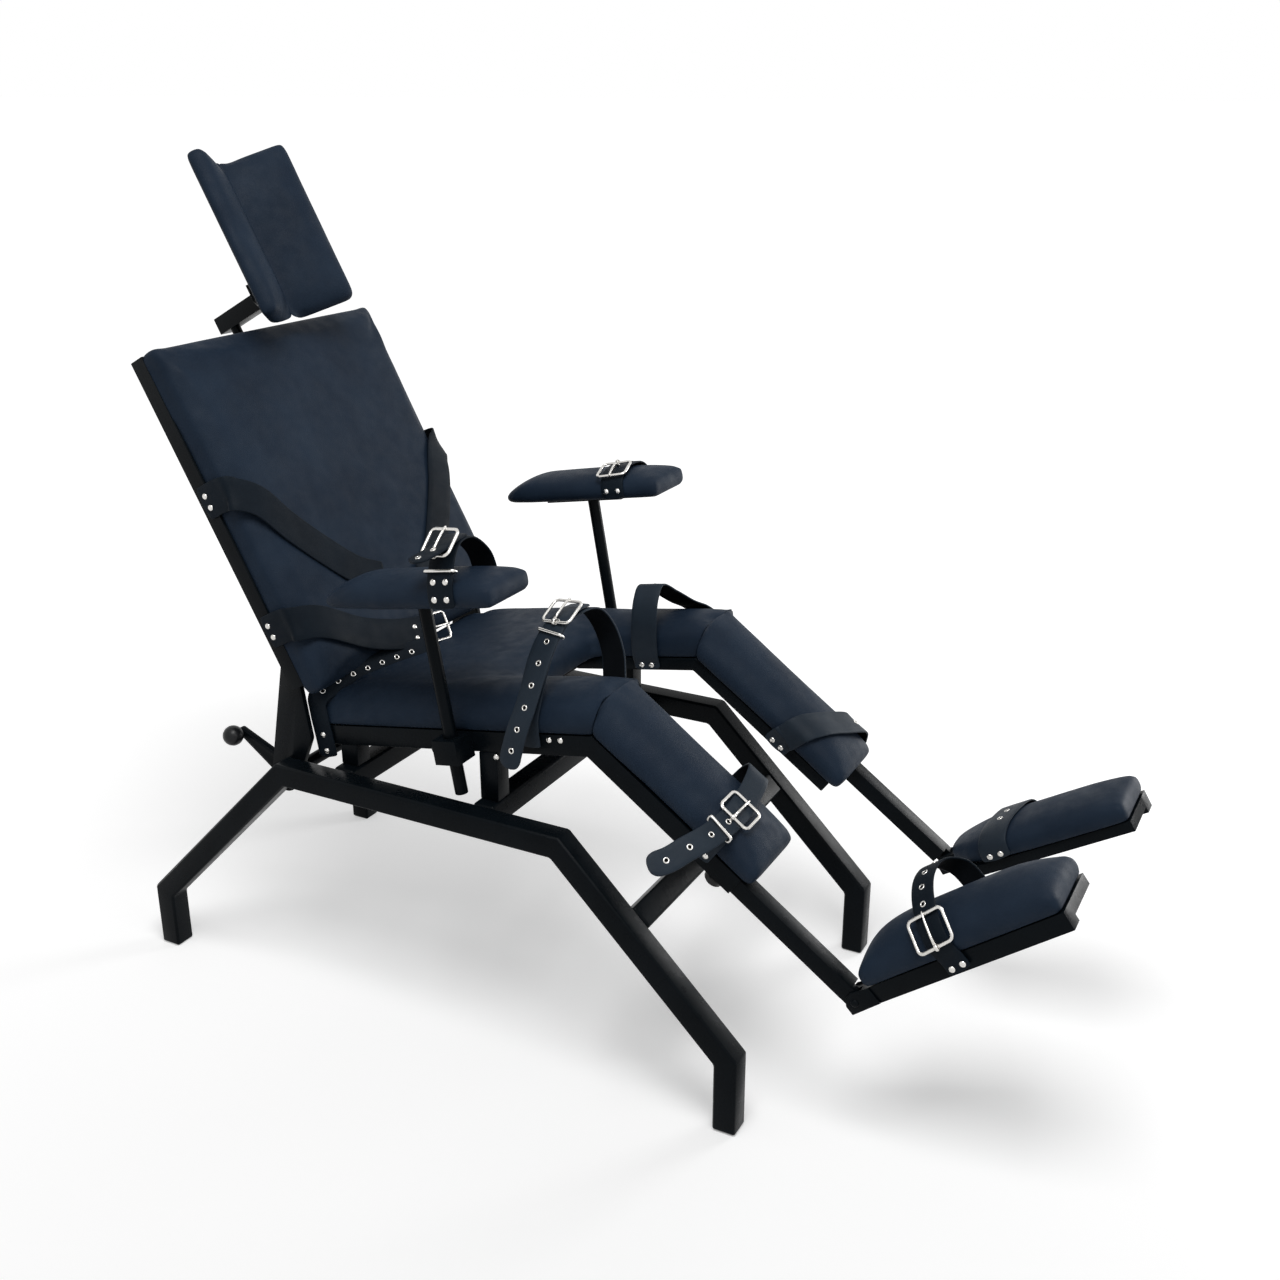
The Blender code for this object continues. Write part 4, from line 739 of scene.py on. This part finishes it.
def lifted(line, across, heart, pad, width):
    """The line moved outwards wherever the strap would sink into the pad under it."""
    raised = [0.0] * len(line)
    found = stations(line, across, heart)
    for index, (point, _, wide, _) in enumerate(found):
        for share in (-0.5, -0.25, 0.0, 0.25, 0.5):
            spot = point + wide * (share * width)
            near, normal, *_ = pad_surfaces[pad].find_nearest(spot, NEAR_PAD)
            if near is not None:
                depth = THICK / 2 + PAD_GAP - (spot - near).dot(normal)
                raised[index] = max(raised[index], depth)
    spread = [max(raised[max(0, i - 3):i + 4]) for i in range(len(raised))]
    even = [averaged(spread, i) for i in range(len(spread))]
    return [station[0] + station[3] * rise for station, rise in zip(found, even)]


# %% Draw the leather along a line
SQUARE_TIP = 0.004


def strap_leather_mesh(bm, found, width, start_tip, end_tip):
    """A strip with rounded edges, a slight crown and rounded tips."""
    half = width / 2
    thin = THICK / 2
    crown = 0.0003
    flats = [-half + thin, -half * 0.55, 0.0, half * 0.55, half - thin]
    outline = [(a, thin + crown * (1 - (a / half) ** 2)) for a in flats]
    outline += [(half - thin * 0.3, thin * 0.71), (half, 0.0), (half - thin * 0.3, -thin * 0.71)]
    outline += [(a, -thin) for a in reversed(flats)]
    outline += [(-half + thin * 0.3, -thin * 0.71), (-half, 0.0), (-half + thin * 0.3, thin * 0.71)]
    run = [0.0]
    for one, two in zip(found, found[1:]):
        run.append(run[-1] + (two[0] - one[0]).length)
    rings = []
    for (point, _, wide, out), gone in zip(found, run):
        keep = 1.0
        for tip, left in ((start_tip, gone), (end_tip, run[-1] - gone)):
            if left < tip:
                keep = min(keep, 0.25 + 0.75 * math.sqrt(max(0.0, 1 - (1 - left / tip) ** 2)))
        rings.append([bm.verts.new(point + wide * (a * keep) + out * z) for a, z in outline])
    count = len(outline)
    for one, two in zip(rings, rings[1:]):
        for i in range(count):
            face = bm.faces.new((one[i], one[(i + 1) % count], two[(i + 1) % count], two[i]))
            face.material_index = 1 if 8 <= i < 12 else 0
    bm.faces.new(rings[0])
    bm.faces.new(list(reversed(rings[-1])))


def denser_ends(line, gap=0.0016, rows=5):
    """Extra points near both ends, so that a rounded tip has enough rows."""
    first = [line[0] + (line[1] - line[0]).normalized() * (gap * i) for i in range(rows)]
    last = [line[-1] + (line[-2] - line[-1]).normalized() * (gap * i) for i in range(rows)]
    reach = gap * rows
    middle = [p for p in line if (p - line[0]).length > reach and (p - line[-1]).length > reach]
    return first + middle + list(reversed(last))


# %% Make one strap
TAIL_TIP = 0.016
strap_runs = {}


def leather_strap(node, route, place, across, heart, pad, width=WIDE, tail=None,
                  look=strap_leather):
    """A strap on the route of a packed one, with an optional free tail. All drawn on its place."""
    turn = place.to_3x3()
    wide = across if callable(across) else (lambda share: Vector(across))
    middle = place @ Vector(heart)
    bm = bmesh.new()
    for name, points, width, tip in ((node, route, width, SQUARE_TIP),
                                     (node + "_tail", tail, WIDE, TAIL_TIP)):
        if points is None:
            continue
        line = [place @ point for point in smooth_line(points)]
        line = lifted(line, lambda share: turn @ wide(share), middle, pad, width)
        found = stations(denser_ends(line), lambda share: turn @ wide(share), middle)
        strap_leather_mesh(bm, found, width, SQUARE_TIP, tip)
        strap_runs[name] = found
    shape = mesh_of(bm, node + "_strap")
    shape.materials.append(look)
    shape.materials.append(flesh_side)
    add_piece(node + "_leather", shape, None, body_of_solid[node], (node,),
              crease=50.0)


# %% Straps for the limbs
leather_strap("thigh_strap_right",
              [(-0.09, -0.2206, 0.012), (-0.086, -0.2206, 0.0385), (-0.08, -0.2206, 0.066),
               (-0.064, -0.198, 0.13), (-0.051, -0.168, 0.167), (-0.042, -0.13, 0.178),
               (-0.035, -0.095, 0.171), (-0.028, -0.076, 0.14), (-0.022, -0.074, 0.1),
               (-0.019, -0.086, 0.065), (-0.018, -0.0973, 0.0358), (-0.018, -0.1019, 0.0216),
               (-0.018, -0.1019, 0.012)],
              on_seat, (1, 0, 0), (-0.045, -0.16, 0.06), "seat_pad", 0.038,
              tail=[(-0.04, -0.108, 0.182), (-0.0415, -0.14, 0.1825), (-0.047, -0.168, 0.172),
                    (-0.0565, -0.193, 0.144), (-0.0655, -0.215, 0.11), (-0.0745, -0.234, 0.076),
                    (-0.0855, -0.2465, 0.047), (-0.098, -0.254, 0.014),
                    (-0.104, -0.257, -0.006)])
leather_strap("thigh_strap_left",
              [(-0.018, 0.2206, 0.012), (-0.018, 0.2206, 0.0385), (-0.022, 0.2206, 0.062),
               (-0.031, 0.21, 0.08), (-0.041, 0.185, 0.098), (-0.05, 0.155, 0.122),
               (-0.056, 0.124, 0.142), (-0.057, 0.101, 0.125), (-0.06, 0.091, 0.095),
               (-0.066, 0.092, 0.065), (-0.0713, 0.0973, 0.0358), (-0.073, 0.1019, 0.0216),
               (-0.073, 0.1019, 0.012)],
              on_seat, (1, 0, 0), (-0.05, 0.16, 0.06), "seat_pad", 0.044)
leather_strap("shin_strap_right",
              [(0.198, -0.2206, 0.012), (0.198, -0.2206, 0.0345), (0.198, -0.2206, 0.0534),
               (0.198, -0.205, 0.0711), (0.196, -0.1654, 0.08), (0.189, -0.13, 0.093),
               (0.18, -0.102, 0.095), (0.174, -0.0865, 0.072), (0.172, -0.0885, 0.045),
               (0.172, -0.0975, 0.03), (0.172, -0.1019, 0.0216), (0.172, -0.1019, 0.012)],
              on_leg, (1, 0, 0), (0.198, -0.16, 0.03), "shin_pad_right",
              tail=[(0.198, -0.16, 0.079), (0.1985, -0.1801, 0.079), (0.1975, -0.2145, 0.0765),
                    (0.1926, -0.25, 0.0675), (0.1838, -0.28, 0.0533), (0.1765, -0.303, 0.038),
                    (0.164, -0.3235, 0.023)])
leather_strap("shin_strap_left",
              [(0.244, 0.2206, 0.012), (0.244, 0.2206, 0.0345), (0.24, 0.2227, 0.057),
               (0.2298, 0.205, 0.0795), (0.21, 0.1654, 0.0742), (0.1903, 0.1249, 0.0711),
               (0.1761, 0.1015, 0.063), (0.1697, 0.0979, 0.0426), (0.1674, 0.0979, 0.0365),
               (0.165, 0.1019, 0.0216), (0.165, 0.1019, 0.012)],
              on_leg, (1, 0, 0), (0.2, 0.16, 0.03), "shin_pad_left", 0.042)
leather_strap("foot_strap_right",
              [(0.163, -0.0171, -0.009), (0.1609, -0.0171, 0.01), (0.1561, -0.0171, 0.0388),
               (0.152, 0.0096, 0.0761), (0.151, 0.0503, 0.098), (0.1579, 0.0863, 0.098),
               (0.1729, 0.1084, 0.072), (0.1839, 0.0991, 0.0304), (0.186, 0.0991, 0.0158)],
              on_foot["right"], (1, 0, 0), (0.16, 0.045, 0.03), "foot_pad_right",
              look=dark_strap)
leather_strap("foot_strap_left",
              [(0.15, 0.0171, -0.009), (0.148, 0.0171, 0.01), (0.1461, 0.0171, 0.0328),
               (0.1419, 0.0051, 0.0489), (0.134, -0.0398, 0.0531), (0.1279, -0.0747, 0.051),
               (0.124, -0.0955, 0.0418), (0.122, -0.0991, 0.0268), (0.122, -0.0991, 0.0158)],
              on_foot["left"], (1, 0, 0), (0.14, -0.04, 0.02), "foot_pad_left", 0.044)
leather_strap("wrist_strap_right",
              [(0.073, -0.0521, 0.0073), (0.073, -0.0521, 0.0263), (0.073, -0.0479, 0.0485),
               (0.073, -0.0219, 0.0841), (0.073, 0.0141, 0.0863), (0.073, 0.0458, 0.0582),
               (0.073, 0.0521, 0.0263), (0.073, 0.0521, 0.0073)],
              on_arm["right"], (1, 0, 0), (0.073, 0.0, 0.02), "arm_pad_right", 0.041,
              tail=[(0.074, 0.006, 0.0925), (0.0745, -0.018, 0.0905), (0.072, -0.04, 0.086),
                    (0.065, -0.06, 0.0815), (0.054, -0.078, 0.078)], look=dark_strap)
leather_strap("wrist_strap_left",
              [(0.062, 0.0521, 0.0073), (0.062, 0.0521, 0.0243), (0.062, 0.0441, 0.0414),
               (0.063, 0.0198, 0.0498), (0.066, -0.0198, 0.0498), (0.069, -0.0441, 0.0414),
               (0.07, -0.0521, 0.0243), (0.07, -0.0521, 0.0073)],
              on_arm["left"], (1, 0, 0), (0.066, 0.0, 0.01), "arm_pad_left", 0.04,
              look=dark_strap)
print("limb straps:", len(strap_runs))


# %% Belts on the back and the seat
def chest_across(side):
    """The chest strap stands upright at the back's edge and turns as it crosses the front."""
    def wide(share):
        turned = min(1.0, max(0.0, (share - 0.25) * 4)) * math.radians(35.0)
        return Vector((0, -side * math.sin(turned), math.cos(turned)))
    return wide


for hand, side, high in (("right", -1, 0.424), ("left", 1, 0.396)):
    leather_strap("chest_strap_" + hand,
                  [(0.115, side * 0.2481, high - 0.009), (0.1523, side * 0.2481, high - 0.009),
                   (0.1723, side * 0.2441, high - 0.0145), (0.1813, side * 0.2134, high - 0.037),
                   (0.1805, side * 0.1811, high - 0.0848), (0.1805, side * 0.1389, high - 0.1357),
                   (0.1826, side * 0.0918, high - 0.1844), (0.1868, side * 0.0447, high - 0.212)],
                  on_back, chest_across(side), (0.1, 0.0, 0.3), "back_pad", BELT,
                  look=dark_strap)
leather_strap("waist_belt_right",
              [(0.115, -0.2481, 0.208), (0.1523, -0.2481, 0.208), (0.1723, -0.2441, 0.203),
               (0.1826, -0.2059, 0.19), (0.1813, -0.1389, 0.15), (0.1857, -0.0851, 0.127),
               (0.1889, -0.036, 0.112), (0.19, -0.0099, 0.108)],
              on_back, (0, 0, 1), (0.1, 0.0, 0.2), "back_pad", BELT, look=dark_strap)


def lap_across(share):
    """The lap strap lies flat on the rail, then stands up and leans against the back."""
    turned = min(1.0, max(0.0, (share - 0.3) * 4)) * math.radians(58.0)
    return Vector((math.cos(turned), 0, -math.sin(turned)))


leather_strap("lap_strap_right",
              [(-0.458, -0.2206, -0.0201), (-0.458, -0.2206, 0.0099), (-0.458, -0.2206, 0.05),
               (-0.457, -0.218, 0.069), (-0.45, -0.195, 0.0815), (-0.4308, -0.1279, 0.0835),
               (-0.4128, -0.0794, 0.0845), (-0.392, -0.0353, 0.0855)],
              on_seat, lap_across, (-0.44, -0.1, 0.03), "seat_pad", look=dark_strap)
print("straps:", sorted(strap_runs))

# %% [markdown]
# ## Buckles and keepers
# The straps close with square nickel buckles of bent wire with a prong; three have a keeper too.
# Curve objects with a bevel could draw the wire; a small sweep keeps each buckle one plain mesh.


# %% Bent wire
def wire(bm, points, radius, up, closed=False, flat=1.0, taper=1.0, sides=10):
    """Adds a bent round wire to a drawing; up is square to the plane that it is bent in."""
    points = [Vector(point) for point in points]
    up = Vector(up)
    count = len(points)
    rings = []
    for index, point in enumerate(points):
        before = points[index - 1] if index or closed else point
        after = points[(index + 1) % count] if index < count - 1 or closed else point
        along = (after - before).normalized()
        side = along.cross(up).normalized()
        thick = radius * (1 + (taper - 1) * index / (count - 1))
        ring = []
        for step in range(sides):
            angle = 2 * math.pi * step / sides
            ring.append(bm.verts.new(point + side * (math.cos(angle) * thick)
                                     + up * (math.sin(angle) * thick * flat)))
        rings.append(ring)
    pairs = list(zip(rings, rings[1:])) + ([(rings[-1], rings[0])] if closed else [])
    for one, two in pairs:
        for step in range(sides):
            bm.faces.new((one[step], one[(step + 1) % sides], two[(step + 1) % sides], two[step]))
    if not closed:
        bm.faces.new(list(reversed(rings[0])))
        bm.faces.new(rings[-1])


def rounded_square(length, width, corner, steps=5):
    """The corners of a rounded rectangle round the origin."""
    points = []
    for quarter, (a, b) in enumerate(((1, 1), (-1, 1), (-1, -1), (1, -1))):
        for step in range(steps + 1):
            angle = math.pi / 2 * (quarter + step / steps)
            points.append((a * (length / 2 - corner) + corner * math.cos(angle),
                           b * (width / 2 - corner) + corner * math.sin(angle)))
    return points


# %% A place on a strap
def strap_spot(strap, distance, sideways=0.0):
    """A frame on a strap's outer face: along, across and outwards. Negative counts from its end."""
    found = strap_runs[strap]
    total = sum((two[0] - one[0]).length for one, two in zip(found, found[1:]))
    left = distance if distance >= 0 else total + distance
    for one, two in zip(found, found[1:]):
        step = (two[0] - one[0]).length
        if left <= step:
            break
        left -= step
    share = left / step if step else 0.0
    point, along, wide, out = [a.lerp(b, share) for a, b in zip(one, two)]
    point = point + out.normalized() * (THICK / 2) + wide.normalized() * sideways
    turn = Matrix((along.normalized(), wide.normalized(), out.normalized())).transposed().to_4x4()
    return Matrix.Translation(point) @ turn


# %% Buckles
FRAME_WIRE, RING_WIRE, PRONG_WIRE, KEEPER_WIRE = 0.0024, 0.0014, 0.0022, 0.0017
RING_SIZE = 0.0040


def buckle(name, strap, distance, body, width=WIDE, length=0.040, tilt=0.0, swing=0.0,
           lift=0.0026, shift=0.0):
    """A square wire buckle on a strap: frame, and a prong that turns on its rear bar."""
    bm = bmesh.new()
    frame_line = [(x, y, 0.0) for x, y in rounded_square(length, width + 0.014, 0.007)]
    wire(bm, frame_line, FRAME_WIRE, (0, 0, 1), closed=True, flat=0.8)
    rear = -length / 2
    turns = [step * math.pi / 6 for step in range(12)]
    ring = [(rear + RING_SIZE * math.cos(a), 0.0, RING_SIZE * math.sin(a)) for a in turns]
    wire(bm, ring, RING_WIRE, (0, 1, 0), closed=True, flat=1.9)
    prong = [(rear + x, 0, z) for x, z in ((0.003, 0.0030), (length * 0.3, 0.0042),
                                           (length * 0.7, 0.0040), (length + 0.001, 0.0028),
                                           (length + 0.0035, 0.0016))]
    wire(bm, prong, PRONG_WIRE, (0, 1, 0), taper=0.6)
    place = (strap_spot(strap, distance) @ Matrix.Translation((shift, 0, lift))
             @ Matrix.Rotation(math.radians(swing), 4, "Z")
             @ Matrix.Rotation(math.radians(tilt), 4, "Y"))
    add_piece(name, mesh_of(bm, name, place), nickel, body)


def keeper(name, strap, distance, body, width=WIDE):
    """A wire loop round a strap that holds its tail down."""
    bm = bmesh.new()
    loop = [(0.0, y, z) for y, z in rounded_square(width + 0.007, 0.0105, 0.0035)]
    wire(bm, loop, KEEPER_WIRE, (1, 0, 0), closed=True, flat=1.25)
    place = strap_spot(strap, distance) @ Matrix.Translation((0, 0, -0.0012))
    add_piece(name, mesh_of(bm, name, place), nickel, body)


buckle("thigh_buckle_right", "thigh_strap_right_tail", 0.044, "base", swing=180.0, tilt=-12.0,
       lift=0.005)
keeper("thigh_keeper_right", "thigh_strap_right_tail", 0.077, "base")
buckle("shin_buckle_right", "shin_strap_right_tail", 0.022, "base", swing=180.0)
keeper("shin_keeper_right", "shin_strap_right_tail", 0.069, "base")
buckle("foot_buckle_right", "foot_strap_right", 0.062, "foot_right", 0.039, 0.044)
buckle("wrist_buckle_right", "wrist_strap_right_tail", 0.040, "arm_rest_right", swing=180.0,
       tilt=-30.0, lift=0.004)
keeper("wrist_keeper_right", "wrist_strap_right", 0.050, "arm_rest_right", 0.041)
buckle("wrist_buckle_left", "wrist_strap_left", -0.050, "arm_rest_left")
buckle("waist_buckle", "waist_belt_right", -0.004, "back", width=0.030, length=0.046, shift=0.024)

# %% [markdown]
# ## Rivets and eyelets
# Pairs of domed rivets fix every strap to the chair, and the free tails have rows of eyelets.
# They repeat dozens of times, so Geometry Nodes puts one small head on every listed point.
# The points carry the way they face, and the result is made one plain mesh for each body.


# %% A tree that puts a head on every point
def head_tree(name, parts):
    """A tree that stands a part on each point, along the point's own facing."""
    tree = bpy.data.node_groups.new(name, "GeometryNodeTree")
    tree.interface.new_socket("Geometry", in_out="INPUT", socket_type="NodeSocketGeometry")
    radius = tree.interface.new_socket("Head radius", in_out="INPUT", socket_type="NodeSocketFloat")
    height = tree.interface.new_socket("Head height", in_out="INPUT", socket_type="NodeSocketFloat")
    tree.interface.new_socket("Geometry", in_out="OUTPUT", socket_type="NodeSocketGeometry")
    start = tree.nodes.new("NodeGroupInput")
    stop = tree.nodes.new("NodeGroupOutput")
    facing = add_node(tree, "GeometryNodeInputNamedAttribute", data_type="FLOAT_VECTOR",
                      name="facing")
    turn = add_node(tree, "FunctionNodeAlignRotationToVector", axis="Z",
                    vector=facing.outputs["Attribute"])
    gather = tree.nodes.new("GeometryNodeJoinGeometry")
    for shape, look in parts(tree, start.outputs["Head radius"], start.outputs["Head height"]):
        stand = add_node(tree, "GeometryNodeInstanceOnPoints", points=start.outputs["Geometry"],
                         instance=shape, rotation=turn.outputs["Rotation"])
        real = add_node(tree, "GeometryNodeRealizeInstances", geometry=stand.outputs[0])
        paint = add_node(tree, "GeometryNodeSetMaterial", geometry=real.outputs[0], material=look)
        tree.links.new(paint.outputs[0], gather.inputs[0])
    tree.links.new(gather.outputs[0], stop.inputs[0])
    return tree, radius.identifier, height.identifier


def rivet_parts(tree, radius, height):
    """A flattened dome."""
    dome = add_node(tree, "GeometryNodeMeshUVSphere", segments=16, rings=8, radius=1.0)
    size = add_node(tree, "ShaderNodeCombineXYZ", x=radius, y=radius, z=height)
    press = add_node(tree, "GeometryNodeTransform", geometry=dome.outputs["Mesh"],
                     scale=size.outputs[0])
    return [(press.outputs[0], nickel)]


def bolt_parts(tree, radius, height):
    """The same dome under powder coat, for the heel pivots."""
    return [(rivet_parts(tree, radius, height)[0][0], powder_coat)]


# Painted shade: a near-black, rough finish for the disc that fills each eyelet's hole.
eyelet_painted_shade = finish("eyelet_painted_shade", (0.0012, 0.0012, 0.0013), (0.0022, 0.0022, 0.0024), (0.8, 0.95),
                     900.0, 0.2, shine=0.05)


def eyelet_parts(tree, radius, height):
    """A rolled ring, and a near-black disc inside it: painted shade in the hole."""
    ring = add_node(tree, "GeometryNodeCurvePrimitiveCircle", resolution=20, radius=radius)
    roll = add_node(tree, "GeometryNodeCurvePrimitiveCircle", resolution=8, radius=height)
    tube = add_node(tree, "GeometryNodeCurveToMesh", curve=ring.outputs[0],
                    profile_curve=roll.outputs[0])
    hole = add_node(tree, "GeometryNodeMeshCylinder", vertices=20, radius=radius, depth=height)
    return [(tube.outputs[0], nickel), (hole.outputs[0], eyelet_painted_shade)]


rivet_tree = head_tree("rivets", rivet_parts)
bolt_tree = head_tree("bolts", bolt_parts)
eyelet_tree = head_tree("eyelets", eyelet_parts)


# %% Put heads on listed places
def heads(name, tree, places, body, radius, height):
    """One mesh with a rivet or eyelet at every place, riding on a body."""
    mesh = bpy.data.meshes.new(name)
    mesh.from_pydata([place.translation for place in places], [], [])
    facing = mesh.attributes.new("facing", "FLOAT_VECTOR", "POINT")
    for item, place in zip(facing.data, places):
        item.vector = place.to_3x3().col[2]
    item = placed(name + "_points", mesh)
    grown = item.modifiers.new("heads", "NODES")
    group, radius_socket, height_socket = tree
    grown.node_group = group
    grown[radius_socket] = radius
    grown[height_socket] = height
    shape = plain_copy(item)
    if "facing" in shape.attributes:
        shape.attributes.remove(shape.attributes["facing"])
    print(name, "heads:", len(places), "faces:", len(shape.polygons))
    add_piece(name, shape, None, body)


def pairs(strap, *distances, apart=0.0085):
    """Two places side by side across a strap, at each distance."""
    return [strap_spot(strap, distance, side * apart) for distance in distances for side in (-1, 1)]


def row(strap, first, gap, count):
    """Places along the middle of a strap."""
    return [strap_spot(strap, first + gap * index) for index in range(count)]


def facing_out(point, direction):
    """A place at a point that faces a direction."""
    turn = Vector((0, 0, 1)).rotation_difference(Vector(direction)).to_matrix().to_4x4()
    return Matrix.Translation(point) @ turn


rivets = {
    "base": ([facing_out(on_seat @ Vector((x, -0.2186, 0.0222)), (0, -1, 0))
              for x in (-0.057, -0.0387)]
             + pairs("thigh_strap_right", -0.008) + pairs("thigh_strap_left", 0.010, -0.008)
             + pairs("shin_strap_right", 0.010, -0.008) + pairs("shin_strap_left", 0.010, -0.008)
             + [strap_spot("lap_strap_right", 0.010), strap_spot("lap_strap_right", 0.036)]
             + [facing_out((-0.087, -0.2187, 0.4634), (0, -1, 0))]),
    "back": (pairs("chest_strap_right", 0.012, apart=0.009)
             + pairs("chest_strap_left", 0.012, apart=0.009)
             + pairs("waist_belt_right", 0.010, -0.028, apart=0.009)),
    "foot_right": pairs("foot_strap_right", 0.008, -0.008),
    "foot_left": pairs("foot_strap_left", 0.008, -0.008),
    "arm_rest_right": pairs("wrist_strap_right", 0.013, 0.036, -0.012, apart=0.010),
    "arm_rest_left": (pairs("wrist_strap_left", 0.010)
                      + pairs("wrist_strap_left", -0.012, apart=0.0102))}
eyelets = {
    "base": (row("thigh_strap_right_tail", 0.0585, 0.0315, 7)
             + row("shin_strap_right_tail", 0.050, 0.036, 4)
             + row("lap_strap_right", 0.108, 0.0265, 7) + row("thigh_strap_left", 0.150, 0.024, 2)
             + row("shin_strap_left", 0.062, 0.020, 2)),
    "foot_right": row("foot_strap_right", 0.098, 0.026, 4),
    "foot_left": row("foot_strap_left", 0.100, 0.025, 2),
    "arm_rest_right": row("wrist_strap_right_tail", 0.054, 0.024, 2),
    "arm_rest_left": row("wrist_strap_left", 0.050, 0.024, 1)}
RIVET = (0.0047, 0.0026)  # radius and height
EYELET = (0.0034, 0.0011)
BOLT = (0.0058, 0.0030)
for body, places in rivets.items():
    heads("rivets_" + body, rivet_tree, places, body, *RIVET)
for body, places in eyelets.items():
    heads("eyelets_" + body, eyelet_tree, places, body, *EYELET)
for hand, _ in SIDES:
    pivots = [facing_out(on_foot[hand] @ Vector((0, y, 0)), (0, y, 0))
              for y in (-CHEEK_OUTSIDE, CHEEK_OUTSIDE)]
    heads("heel_bolts_" + hand, bolt_tree, pivots, "foot_" + hand, *BOLT)
